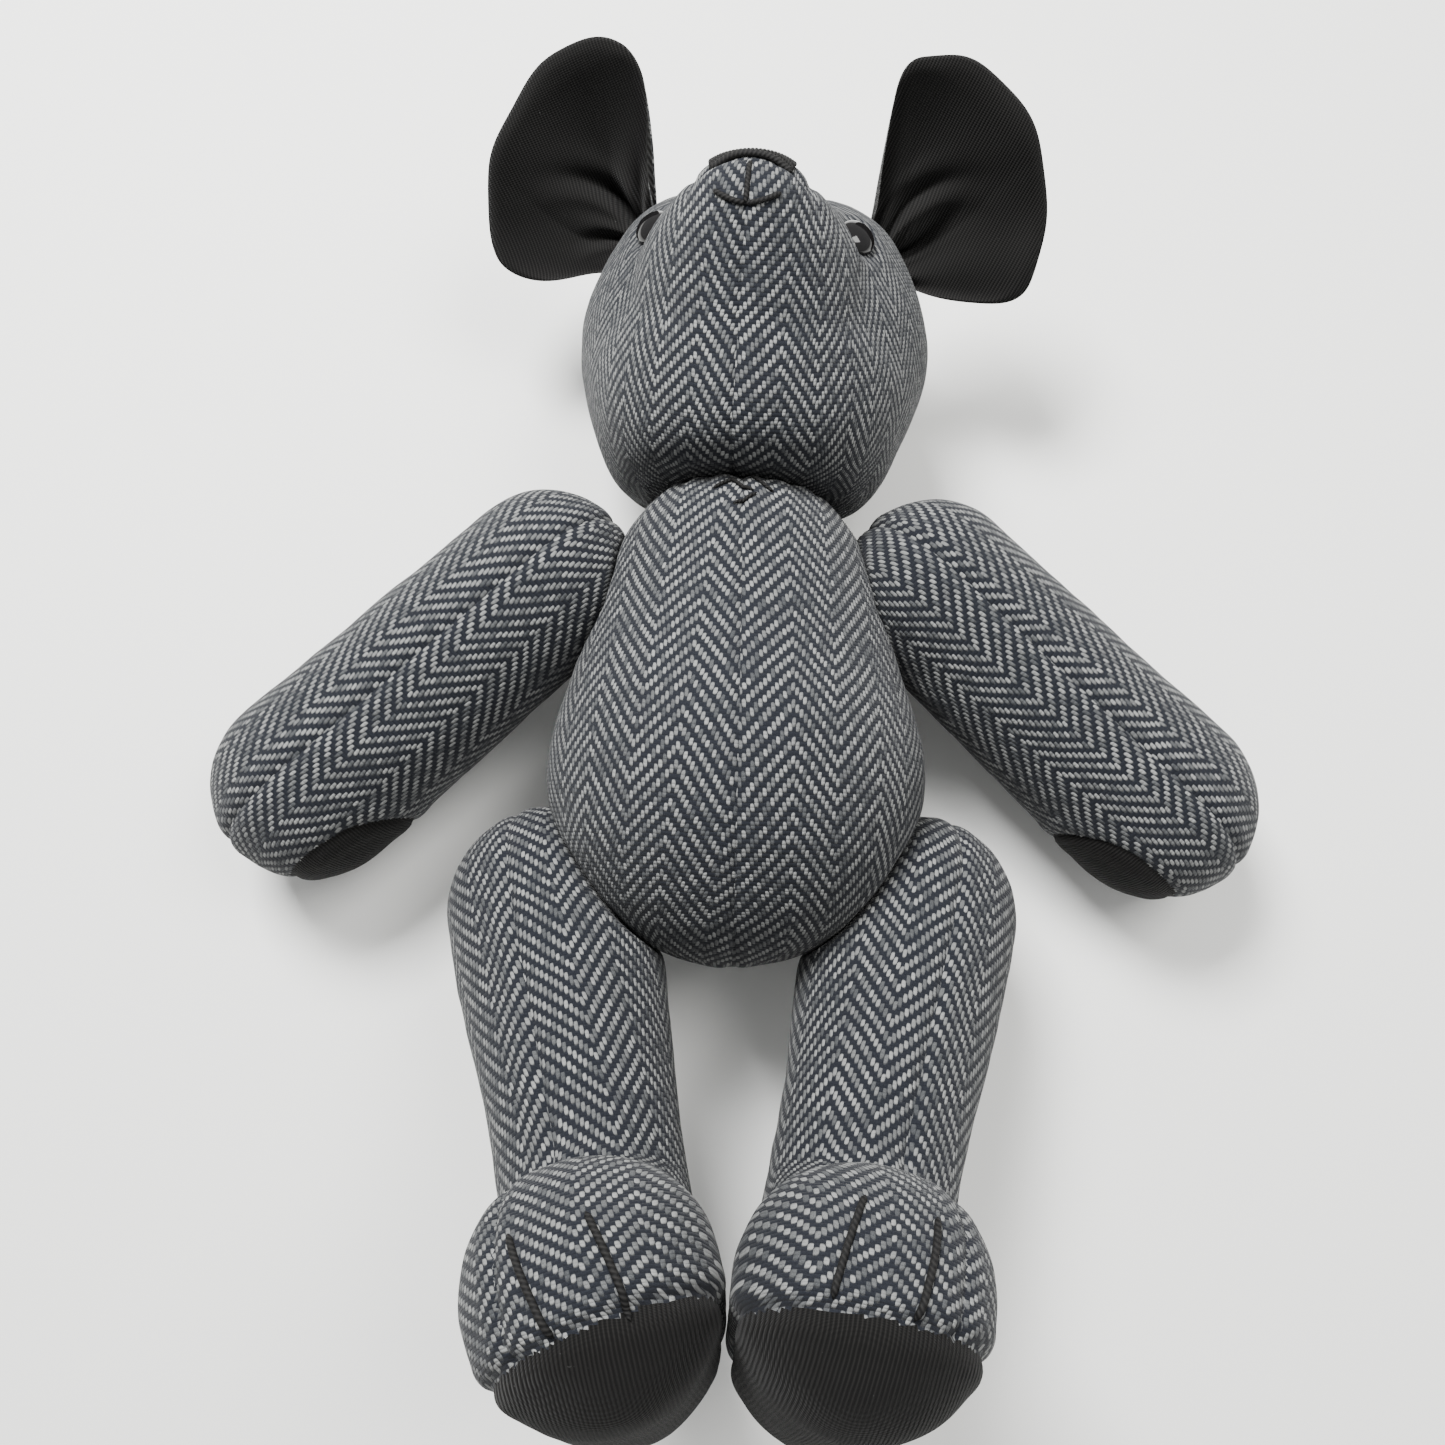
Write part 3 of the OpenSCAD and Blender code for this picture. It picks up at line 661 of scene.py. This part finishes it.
def torso_cloth():
    plugs = [(neck_p - neck_a * NECK_BACK, -neck_a, NECK_POCKET_R, BODY_POCKET_DEEP)]
    for side in SIDES:
        for kind, radius in (("shoulder", SHOULDER_POCKET_R), ("hip", HIP_POCKET_R)):
            p, out = limb_joint(side, kind)
            plugs.append((p - out * POCKET_BACK, -out, radius, BODY_POCKET_DEEP))
    form = soft_form("torso_form", ["torso_front_left", "torso_front_right", "torso_back", "torso_stuffing"],
                     plugs)
    seam_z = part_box("torso_back")[1][2]
    split_planes(form, [((0, 0, 0), (1, 0, 0)), ((0, 0, seam_z), (0, 0, 1))])
    me = form.data
    co, no = coords(me), normals(me)
    d_mid = np.where(co[:, 2] > seam_z - 0.001, np.abs(co[:, 0]), NO_SEAM)
    d_side = np.abs(co[:, 2] - seam_z)
    bump = seam_profile(d_mid, **MID_SEAM) + seam_profile(d_side, **SIDE_SEAM)
    off_floor = np.where(co[:, 2] < 0.0016, 0, 1)
    bump = bump + off_floor * uneven(co, 1, 2, 0.028)
    # the cloth is drawn in at the neck
    neck_d = np.linalg.norm(co - neck_p, axis=1)
    pleat = np.sin(np.arctan2(co[:, 0], co[:, 2] - neck_p[2]) * 17.0)
    bump = bump + 0.00035 * pleat * np.exp(-((neck_d - 0.026) / 0.009) ** 2)
    co = co + no * bump[:, None]
    co[:, 2] = np.maximum(co[:, 2], 0.0)
    high = np.maximum((co - neck_p) @ neck_a + TORSO_ROOM, 0)
    set_coords(me, co - np.outer(high, neck_a))
    u, v = weave_map(me, np.array((0, 0, 0.054)), (0, 1, -0.03), (0, 0, 1))
    cen = face_centres(me)
    write_sides(me, u, v, (1.0, 7.0), ((0.0007, 0.0016), (0.002, 0.0)), 0.10, cen[:, 0] > 0)
    back = cen[:, 2] < seam_z
    is_left = cen[:, 0] > 0
    carve(form, "torso_front_left_cloth", ~back & is_left, TWEED, ["torso_front_left"], "torso")
    carve(form, "torso_front_right_cloth", ~back & ~is_left, TWEED, ["torso_front_right"], "torso")
    thread_ends(surface_tree(form))
    carve(form, "torso_back_cloth", back, TWEED, ["torso_back", "torso_stuffing"], "torso")
    bpy.data.objects.remove(form)


torso_cloth()

# ---------------------------------------------------------------- head


def eye_place(side):
    """The middle of an eye's rim and the way the eye looks, from its CAD dome and stem."""
    pts = node_points(f"{side}_eye")
    c = pts.mean(0)
    q = np.linalg.eigh(np.cov((pts - c).T))[1]
    look = q[:, 2]
    wide = np.hypot((pts - c) @ q[:, 0], (pts - c) @ q[:, 1])
    if np.dot(look, c - neck_p) < 0:
        look = -look
    s = (pts - c) @ look
    return c + look * s[wide > 0.9 * wide.max()].min(), look


eye_mid, eye_out = {}, {}
for side in SIDES:
    eye_mid[side], eye_out[side] = eye_place(side)
# the head's own axes: to its left, up the neck, and out of the face
hx = unit(eye_mid["left"] - eye_mid["right"])
hy = unit(neck_a - np.dot(neck_a, hx) * hx)
hz = np.cross(hx, hy)
mid_p = (eye_mid["left"] + eye_mid["right"]) / 2
mid_p = mid_p - np.dot(mid_p - neck_p, hy) * hy - np.dot(mid_p - neck_p, hz) * hz


def in_head(x, y, z):
    return mid_p + x * hx + y * hy + z * hz


tip = in_head(0, 0.068, 0.050)
muzzle = unit(tip - in_head(0, 0.054, 0.022))
muzzle_top = unit(np.cross(hx, muzzle))
if np.dot(muzzle_top, hy) < 0:
    muzzle_top = -muzzle_top


def jowl_weight(co):
    return np.clip((0.058 - (co - mid_p) @ hy) / 0.026, 0, 1)


def fill_out_head(co):
    """Turns the rounded CAD form into a stuffed head: clear of the neck, with brows, muzzle and cheeks."""
    co = co + np.outer(np.maximum(HEAD_ROOM - (co - neck_p) @ neck_a, 0), neck_a)
    for side in SIDES:
        # the brow swells above and behind each eye
        top = eye_mid[side] + hy * 0.013 - hz * 0.014
        swell = np.exp(-(np.linalg.norm(co - top, axis=1) / 0.019) ** 2.5)
        co = co + np.outer(0.0042 * swell, unit(hy * 0.9 + hx * SIGN[side] * 0.25 + hz * 0.25))
    # the muzzle is stuffed out broader towards the nose
    near_tip = np.exp(-(np.linalg.norm(co - tip, axis=1) / 0.030) ** 4)
    side_x = (co - mid_p) @ hx
    co = co + np.outer(0.0030 * near_tip * np.tanh(side_x / 0.009), hx)
    # the cheeks draw in to the neck
    cheek = np.clip((0.036 - (co - mid_p) @ hy) / 0.036, 0, 1.2)
    face_side = np.clip(((co - mid_p) @ hz + 0.02) / 0.03, 0, 1)
    return co - np.outer(0.15 * cheek ** 1.5 * face_side * side_x, hx)


def head_cloth():
    """Makes the head's three panels and returns its surface, for the stitches."""
    plugs = [(neck_p + neck_a * NECK_BACK, neck_a, NECK_POCKET_R, BODY_POCKET_DEEP)]
    for side in SIDES:
        plugs.append((eye_mid[side] - eye_out[side] * POCKET_BACK, -eye_out[side],
                      EYE_POCKET_R, EYE_POCKET_DEEP))
    form = soft_form("head_form", ["head_side_left", "head_side_right", "head_gusset", "head_stuffing"],
                     plugs, rounds=26, weight=jowl_weight, strong=130)
    me = form.data
    set_coords(me, fill_out_head(coords(me)))
    # the gusset's edges: a plane on each side, and one across from the nose to the nape
    g = node_points("head_gusset")
    gy, gz = (g - mid_p) @ hy, (g - mid_p) @ hz
    half = np.abs((g - mid_p) @ hx).max()
    front_pt = g[np.argmax(gz + 0.4 * gy)]
    nape = g[gy < gy.min() + 0.003]
    back_pt = nape[np.argmax((nape - mid_p) @ hz)]
    line = unit(in_head(0, (front_pt - mid_p) @ hy, (front_pt - mid_p) @ hz)
                - in_head(0, (back_pt - mid_p) @ hy, (back_pt - mid_p) @ hz))
    g_n = unit(np.cross(hx, line))
    if np.dot(g_n, hz) < 0:
        g_n = -g_n
    split_planes(form, [(mid_p, hx), (mid_p + hx * half, hx), (mid_p - hx * half, hx), (front_pt, g_n)])
    co, no = coords(me), normals(me)
    x = (co - mid_p) @ hx
    above = (co - front_pt) @ g_n
    d_chin = np.where(above > -0.0005, np.abs(x), NO_SEAM)
    d_gusset = np.where(above < 0.0005, np.abs(np.abs(x) - half), NO_SEAM)
    d_low = np.where(np.abs(x) < half + 0.0005, np.abs(above), NO_SEAM)
    bump = seam_profile(d_chin, **MID_SEAM) + seam_profile(np.minimum(d_gusset, d_low), **SIDE_SEAM)
    bump = bump + uneven(co, 5, 6)
    for side in SIDES:
        # the cloth dips under each eye and stands up round it
        d = np.linalg.norm(co - eye_mid[side], axis=1)
        bump = bump - 0.0012 * np.exp(-(d / 0.0068) ** 2) + 0.0005 * np.exp(-((d - 0.0105) / 0.0028) ** 2)
    co = co + no * bump[:, None]
    co[:, 2] = np.maximum(co[:, 2], 0.0)
    set_coords(me, co + np.outer(np.maximum(HEAD_ROOM - (co - neck_p) @ neck_a, 0), neck_a))
    axis = unit(tip - in_head(0, 0.0, 0.0))
    u, v = weave_map(me, in_head(0, 0, 0), axis, hz - np.dot(hz, axis) * axis)
    cen = face_centres(me)
    fx = (cen - mid_p) @ hx
    write_sides(me, u, v, (-2.0, 3.0), ((0.0035, 0.0011), (0.0, 0.0)), 0.03, fx > 0)
    gusset = (np.abs(fx) < half) & ((cen - front_pt) @ g_n < 0)
    carve(form, "head_side_left_cloth", ~gusset & (fx > 0), TWEED, ["head_side_left"], "head")
    carve(form, "head_side_right_cloth", ~gusset & (fx <= 0), TWEED, ["head_side_right"], "head")
    carve(form, "head_gusset_cloth", gusset, TWEED, ["head_gusset", "head_stuffing"], "head")
    tree = surface_tree(form)
    bpy.data.objects.remove(form)
    return tree


def eye_dome(side):
    """A moulded dome with a thin rim, sunk a little in the cloth."""
    radius, sides = 0.006, 48
    a = unit(eye_out[side] - 0.20 * hy + 0.05 * hz)
    c = eye_mid[side] + a * 0.0007
    x, y, _ = basis(a)
    profile = [(0.2, -0.0008), (0.96, -0.0008), (1.0, -0.0003), (1.0, 0.0001), (0.985, 0.0005)]
    profile += [(0.985 * math.cos(t), 0.0005 + 0.0034 * math.sin(t))
                for t in np.linspace(0.08, math.pi / 2 - 0.04, 14)]
    verts = []
    for share, height in profile:
        for k in range(sides):
            w = 2 * math.pi * k / sides
            verts.append(c + a * height + share * radius * (math.cos(w) * x + math.sin(w) * y))
    faces = []
    for i in range(len(profile) - 1):
        low, high = i * sides, (i + 1) * sides
        faces += [(low + k, low + (k + 1) % sides, high + (k + 1) % sides, high + k) for k in range(sides)]
    faces.append(tuple((len(profile) - 1) * sides + k for k in range(sides)))
    ob = make_object(f"{side}_eye_dome", verts, faces, GLOSS)
    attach(ob, "head")
    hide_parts(f"{side}_eye")


def on_muzzle(degrees, across, lift):
    """A place on the cloth of the muzzle: degrees up from its end, a share across, and a lift off it."""
    angle = math.radians(degrees)
    d = math.cos(angle) * muzzle + math.sin(angle) * muzzle_top + across * hx
    return hit(head_tree, tip, d) + unit(d) * lift


def nose():
    """Satin stitches side by side, with a corded edge."""
    half_w, stitch_gap, last = 0.0165, 0.00112, 13
    stitches = []
    for k in range(-last, last + 1):
        bow = 13 * (k / last) ** 2
        long = 20 + 42 * math.sqrt(max(0.0, 1 - (k / (last + 1.5)) ** 2))
        stitches.append([on_muzzle(16 - bow + long * t, k * stitch_gap / half_w, 0.00045)
                         for t in np.linspace(0.0, 1.0, 14)])
    edge = [on_muzzle(15 - 13 * t * t, t * 0.0153 / half_w, 0.0006) for t in np.linspace(-1, 1, 40)]
    tube("nose_stitches", stitches, THREAD_R, "head", ["nose_embroidery"])
    tube("nose_edge", [edge], 0.00105, "head")


def mouth():
    """One stitch down, and a shallow stroke to each side."""
    steps = np.linspace(0, 1, 14)
    strokes = [[on_muzzle(4 - 56 * t, 0.0, 0.0003) for t in steps]]
    for sgn in (-1, 1):
        strokes.append([on_muzzle(-50 + 14 * t ** 1.6, sgn * 0.66 * t, 0.0003) for t in steps])
    tube("mouth_stitches", strokes, THREAD_R, "head", ["mouth_embroidery"])


head_tree = head_cloth()
for side in SIDES:
    eye_dome(side)
nose()
mouth()

# ---------------------------------------------------------------- ears

EAR_RINGS, EAR_SPOKES = 52, 193
EAR_THICK = 0.0028
# sharp creases from the root: angle off the ear's middle, reach as a share of its length, and depth
EAR_CREASES = ((-0.85, 0.30, 0.0042), (-0.36, 0.46, 0.0052), (0.08, 0.60, 0.0060), (0.50, 0.38, 0.0048),
               (0.98, 0.26, 0.0040))


def ear_relief(t, far, fan, sgn):
    """How far the ear stands off its plane: t runs to its edge, far is the distance from its root."""
    cup = 0.0075 * t ** 3 - 0.004 * math.sin(math.pi * min(far, 1.0))
    gather = math.exp(-(far / 0.56) ** 2) * min(1.0, far * 8)
    fold = 0.0078 * gather * (abs(math.sin(fan * 2.1 + 0.5 * sgn + 0.35 * math.sin(far * 6))) - 0.6)
    fold += 0.0030 * math.exp(-(far / 0.8) ** 2) * min(1, far * 6) * (
        abs(math.sin(fan * 4.3 + 1.1 * sgn + 0.5 * math.sin(far * 5))) - 0.6)
    fold += 0.0013 * math.sin(fan * 9 + 2.0 * sgn) * t ** 3
    for at, reach, deep in EAR_CREASES:
        gap = fan - at * sgn - 0.22 * math.sin(far * 4.5 + at * 3)
        fold -= deep * min(1.0, far * 9) * math.exp(-(far / reach) ** 4) * (
            math.exp(-(gap / 0.085) ** 2) - 0.35 * math.exp(-((abs(gap) - 0.2) / 0.09) ** 2))
    return cup + fold


def ear_axes(side, pts, middle):
    """The ear's normal, the way out from the cheek, and the way along its edge."""
    nrm = np.linalg.eigh(np.cov((pts - pts.mean(0)).T))[1][:, 0]
    if nrm[2] < 0:
        nrm = -nrm
    out = unit(middle - in_head(SIGN[side] * 0.009, 0.052, -0.008))
    out = unit(out - np.dot(out, nrm) * nrm)
    along = np.cross(nrm, out)
    if np.dot(along, hx) * SIGN[side] > 0:
        along = -along
    slew = math.radians(26)
    return (nrm, out * math.cos(slew) - along * math.sin(slew), along * math.cos(slew) + out * math.sin(slew))


def ear(side):
    """An egg that narrows to its root: a black lining with a rolled edge, over a tweed back."""
    sgn = SIGN[side]
    pts = node_points(f"{side}_ear_front")
    middle = (pts.max(0) + pts.min(0)) / 2
    nrm, out, along = ear_axes(side, pts, middle)
    o, l = (pts - middle) @ out, (pts - middle) @ along
    half_o, mid_o = (o.max() - o.min()) / 2 * 0.93, (o.max() + o.min()) / 2
    half_l, mid_l = (l.max() - l.min()) / 2 * 1.07, (l.max() + l.min()) / 2
    root_o, root_l = o.min() + 0.002, mid_l - 0.30 * half_l
    root = middle + out * root_o + along * root_l
    spine = unit((mid_o - root_o, mid_l - root_l))
    lean = math.atan2(spine[1] / half_l, spine[0] / half_o)
    mid_fan = math.atan2(spine[1], spine[0])

    def edge_point(angle):
        """The outline, from the root: egg shaped, and a little uneven."""
        q = min(1.0, max(0.0, (abs(angle) - 1.2) / 1.35))
        rough = 1 + 0.016 * math.sin(angle * 3.1 + sgn * 0.7) + 0.010 * math.sin(angle * 9.0 + 1.3 * sgn)
        eo = mid_o + half_o * math.cos(angle + lean) * rough - root_o
        el = mid_l + half_l * math.sin(angle + lean) * rough - root_l
        down = eo * spine[0] + el * spine[1]
        across = (el * spine[0] - eo * spine[1]) * (1 - 0.58 * q * q * (3 - 2 * q))
        return down * spine[0] - across * spine[1], down * spine[1] + across * spine[0]

    outline = [edge_point(fan * math.radians(158)) for fan in np.linspace(-1, 1, EAR_SPOKES)]

    def layer(back):
        verts = []
        for i in range(EAR_RINGS):
            t = i / (EAR_RINGS - 1)
            roll = max(0.0, (t - 0.95) / 0.05) ** 2
            for eo, el in outline:
                px, py = t * eo, t * el
                d = math.hypot(px, py)
                fan = math.atan2(py, px) - mid_fan if d > 1e-9 else 0.0
                h = ear_relief(t, d / (2 * half_o), fan, sgn)
                h += 0.0009 * roll - EAR_THICK if back else -0.0011 * roll
                verts.append(root + out * px + along * py + nrm * h)
        return np.array(verts)

    def strips(first_ring, last_ring):
        n = EAR_SPOKES
        return [(i * n + k, i * n + k + 1, (i + 1) * n + k + 1, (i + 1) * n + k)
                for i in range(first_ring, last_ring) for k in range(n - 1)]

    front, rear = layer(False), layer(True)
    rim = 0.5 * (front[-EAR_SPOKES:] + rear[-EAR_SPOKES:])
    rim = [p + unit(p - root) * 0.0014 for p in rim]
    lining = np.vstack([front, rim, rear[-EAR_SPOKES:]])
    for name, verts, faces, material, node, slot in (
            (f"{side}_ear_lining", lining, strips(0, EAR_RINGS + 1), RIB, f"{side}_ear_front", "black_cloth"),
            (f"{side}_ear_outer", rear, strips(0, EAR_RINGS - 1), TWEED, f"{side}_ear_back", "tweed")):
        ob = make_object(name, verts, faces, material)
        a, b = (verts - root) @ out, (verts - root) @ along
        if slot == "black_cloth":
            write_uv(ob.data, a * 0.72 - b * 0.69, a * 0.69 + b * 0.72)
        else:
            write_uv(ob.data, b + 0.2, a)
        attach(ob, "head")
        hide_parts(node)


for side in SIDES:
    ear(side)

# ---------------------------------------------------------------- arms

ARM_DOWN, ARM_BACK = math.radians(41.5), math.radians(8)
PAW_R = 0.020


def arm(side):
    """A sleeve of two panels, with a round black pad let into the inner one."""
    sgn = SIGN[side]
    jp, out = limb_joint(side, "shoulder")
    body = f"{side}_arm"
    ax = np.array((sgn * math.cos(ARM_BACK) * math.cos(ARM_DOWN), -math.cos(ARM_BACK) * math.sin(ARM_DOWN),
                   -math.sin(ARM_BACK)))
    pad = unit(np.cross((0, 0, -1), ax)) * sgn
    if pad[1] > 0:
        pad = -pad
    top = np.cross(ax, pad) * sgn
    if top[2] < 0:
        top = -top
    c = jp + out * 0.0236
    paw = c + ax * 0.103
    form = soft_form(f"{body}_form",
                     [f"{body}_outer", f"{body}_inner", f"{side}_paw_pad", f"{body}_stuffing"],
                     [(jp + out * POCKET_BACK, out, SHOULDER_POCKET_R, ARM_POCKET_DEEP)])
    split_planes(form, [(c, pad)])
    me = form.data

    def off_paw(p):
        """Distance from the pad's middle, along the cloth that it is let into."""
        rel = p - paw
        return np.linalg.norm(rel - np.outer(rel @ pad, pad), axis=1)

    co, no = coords(me), normals(me)
    d_pad = np.where((co - c) @ pad > 0.002, np.abs(off_paw(co) - PAW_R), NO_SEAM)
    off_torso = np.where((co - c) @ out < -0.0215, 0, 1)
    bump = seam_profile(np.abs((co - c) @ pad), **LIMB_SEAM) + seam_profile(d_pad, **PAD_SEAM)
    co = co + no * (bump + off_torso * uneven(co, 11 + sgn, 3))[:, None]
    co[:, 2] = np.maximum(co[:, 2], 0.0003)
    set_coords(me, co)
    u, v = weave_map(me, c, ax, top)
    cen = face_centres(me)
    write_sides(me, u, v, (3.0, -4.0), ((0.002, 0.0), (0.009, 0.0021)), 0.05,
                (cen - c) @ np.cross(ax, top) > 0)
    is_pad = ((cen - c) @ pad > 0.002) & (off_paw(cen) < PAW_R)
    inner = (cen - c) @ pad > 0
    carve(form, f"{body}_outer_cloth", ~inner, TWEED, [f"{body}_outer", f"{body}_stuffing"], body)
    carve(form, f"{body}_inner_cloth", inner & ~is_pad, TWEED, [f"{body}_inner"], body)
    piece = carve(form, f"{side}_paw_pad_cloth", is_pad, RIB, [f"{side}_paw_pad"], body)
    rel = coords(piece.data) - paw
    write_uv(piece.data, rel @ ax, rel @ top)
    bpy.data.objects.remove(form)


for side in SIDES:
    arm(side)

# ---------------------------------------------------------------- legs

LEG_IN, LEG_RAISED = math.radians(13.1), math.radians(27)
TOE_OUT = 0.045
SEAM_TURN = math.radians(16)
# the two feet are not sewn alike: the sole's tilt and place, then the claws' middle, slant and start
SOLE_TILT = {"left": math.radians(-5), "right": math.radians(8)}
SOLE_SHIFT = {"left": 0.002, "right": 0.005}
CLAWS = {"left": (1, 5, -27), "right": (4, 13, -17)}
CLAW_APART = 17.5


def claws(side, tree, toe, ax, f, sd):
    """Two long stitches over the toes."""
    middle, slant, start = CLAWS[side]
    rows = []
    for k in (1, -1):
        row = []
        for t in np.linspace(0, 1, 22):
            turn = math.radians(middle + k * CLAW_APART - slant * (t - 0.5))
            rise = math.radians(start + 44 * t)
            d = (f * math.cos(turn) + sd * math.sin(turn)) * math.cos(rise) + ax * math.sin(rise)
            row.append(hit(tree, toe, d, 0.08) + d * 0.0003)
        rows.append(row)
    tube(f"{side}_claw_stitches", rows, 0.00085, f"{side}_leg", [f"{side}_claws"])


def leg(side):
    """A leg of two panels with a black sole; the foot turns up at the instep."""
    sgn = SIGN[side]
    jp, out = limb_joint(side, "hip")
    body = f"{side}_leg"
    ax = np.array((-sgn * math.sin(LEG_IN), -math.cos(LEG_IN) * math.cos(LEG_RAISED),
                   math.cos(LEG_IN) * math.sin(LEG_RAISED)))
    up = np.array((-TOE_OUT * sgn, 0, 1))
    f = unit(up - np.dot(up, ax) * ax)
    sd = np.cross(f, ax) * sgn
    if sd[0] * sgn < 0:
        sd = -sd
    c = jp + out * 0.0195
    foot = c + ax * 0.120
    toe = foot + f * 0.040
    bend = c + ax * 0.090 + f * 0.031
    seam_n = sd * math.cos(SEAM_TURN) - f * math.sin(SEAM_TURN)
    seam_f = f * math.cos(SEAM_TURN) + sd * math.sin(SEAM_TURN)
    form = soft_form(f"{body}_form", [f"{body}_outer", f"{body}_inner", f"{side}_sole", f"{body}_stuffing"],
                     [(jp + out * POCKET_BACK, out, HIP_POCKET_R, LEG_POCKET_DEEP)],
                     rounds=12, strong=70, full=False,
                     weight=lambda co: 0.9 * np.exp(-(np.linalg.norm(co - bend, axis=1) / 0.024) ** 4))
    sole_s = ((node_points(f"{side}_sole") - c) @ ax).min()
    sole_n = ax * math.cos(SOLE_TILT[side]) - sd * math.sin(SOLE_TILT[side])
    sole_o = c + ax * (sole_s + SOLE_SHIFT[side]) + f * 0.030
    split_planes(form, [(c, seam_n), (sole_o, sole_n)])
    me = form.data
    co, no = coords(me), normals(me)
    rel = co - c
    s = rel @ ax
    past = (co - sole_o) @ sole_n
    d_seam = np.where(past < 0.0005, np.abs(rel @ seam_n), NO_SEAM)
    off_torso = np.where(rel @ out < -0.0175, 0, 1)
    bump = seam_profile(d_seam, **LIMB_SEAM) + seam_profile(np.abs(past), **SOLE_SEAM)
    bump = bump + off_torso * uneven(co, 21 + sgn, 4)
    # folds where the instep bends: arcs round the front of the ankle
    rt = np.linalg.norm(co - toe, axis=1)
    arc = np.where((rel @ f > 0.004) & (s < 0.100), 1.0, 0.0)
    bump = bump + arc * (0.0009 * np.exp(-((rt - 0.0385) / 0.0025) ** 2)
                         - 0.0016 * np.exp(-((rt - 0.034) / 0.0022) ** 2))
    co = co + no * bump[:, None]
    set_coords(me, co)
    u, v = weave_map(me, c, ax, seam_f, fade=1.35)
    # over the foot the cloth is gathered in, so the twill lies flatter there
    v = v + 0.42 * np.maximum(s - 0.088, 0) * np.clip(((co - c) @ f - 0.012) / 0.02, 0, 1)
    cen = face_centres(me)
    write_sides(me, u, v, (3.0, -3.0), ((0.004, 0.2), (0.0, 0.2019)), 0.05,
                (cen - c) @ np.cross(ax, seam_f) > 0)
    sole = (cen - sole_o) @ sole_n > 0
    outer = (cen - c) @ seam_n > 0
    carve(form, f"{body}_outer_cloth", outer & ~sole, TWEED, [f"{body}_outer", f"{body}_stuffing"],
          body)
    carve(form, f"{body}_inner_cloth", ~outer & ~sole, TWEED, [f"{body}_inner"], body)
    piece = carve(form, f"{side}_sole_cloth", sole, RIB, [f"{side}_sole"], body)
    rel = coords(piece.data) - foot
    write_uv(piece.data, rel @ sd, rel @ f + rel @ ax)
    claws(side, surface_tree(form), toe, ax, f, sd)
    bpy.data.objects.remove(form)


for side in SIDES:
    leg(side)

# ---------------------------------------------------------------- stage, light, camera


def floor():
    half = 2.5
    corners = [(-half, -half, 0), (half, -half, 0), (half, half, 0), (-half, half, 0)]
    me = bpy.data.meshes.new("floor")
    me.from_pydata(corners, [], [(0, 1, 2, 3)])
    ob = bpy.data.objects.new("floor", me)
    ob.location.z = -0.0004
    bpy.context.scene.collection.objects.link(ob)
    m = Nodes("floor")
    m.bsdf.inputs["Base Color"].default_value = (0.965, 0.97, 0.945, 1)
    m.bsdf.inputs["Roughness"].default_value = 0.7
    me.materials.append(m.mat)


def area(name, place, target, size, power, colour=(1, 1, 1)):
    lamp = bpy.data.lights.new(name, "AREA")
    lamp.shape = "RECTANGLE"
    lamp.size, lamp.size_y = size
    lamp.energy = power
    lamp.color = colour
    ob = bpy.data.objects.new(name, lamp)
    ob.location = place
    ob.rotation_euler = (Vector(target) - Vector(place)).to_track_quat("-Z", "Y").to_euler()
    bpy.context.scene.collection.objects.link(ob)


def daylight(strength):
    world = bpy.data.worlds.new("world")
    bpy.context.scene.world = world
    world.use_nodes = True
    background = world.node_tree.nodes["Background"]
    background.inputs[0].default_value = (1.0, 1.0, 1.0, 1)
    background.inputs[1].default_value = strength


def camera(place, tilt, roll, lens):
    """Looks down at the belly; tilt leans the view towards the head."""
    data = bpy.data.cameras.new("camera")
    data.sensor_width = 36.0
    data.lens = lens
    data.clip_start = 0.02
    ob = bpy.data.objects.new("camera", data)
    bpy.context.scene.collection.objects.link(ob)
    look = Vector((0, math.sin(tilt), -math.cos(tilt)))
    right = Vector((1, 0, 0))
    turn = Matrix((right, right.cross(look), -look)).transposed()
    ob.matrix_world = Matrix.Translation(place) @ turn.to_4x4() @ Matrix.Rotation(roll, 4, "Z")
    bpy.context.scene.camera = ob


floor()
area("key", (-0.34, 0.62, 0.98), (0, 0.02, 0.05), (0.42, 0.34), 34.0)
area("fill", (0.55, 0.35, 1.25), (0, 0, 0.05), (0.6, 0.6), 14.0, (1, 0.99, 0.97))
daylight(0.53)
camera((-0.0044, -0.050, 0.433), math.radians(10.0), math.radians(1.4), lens=31.1668)
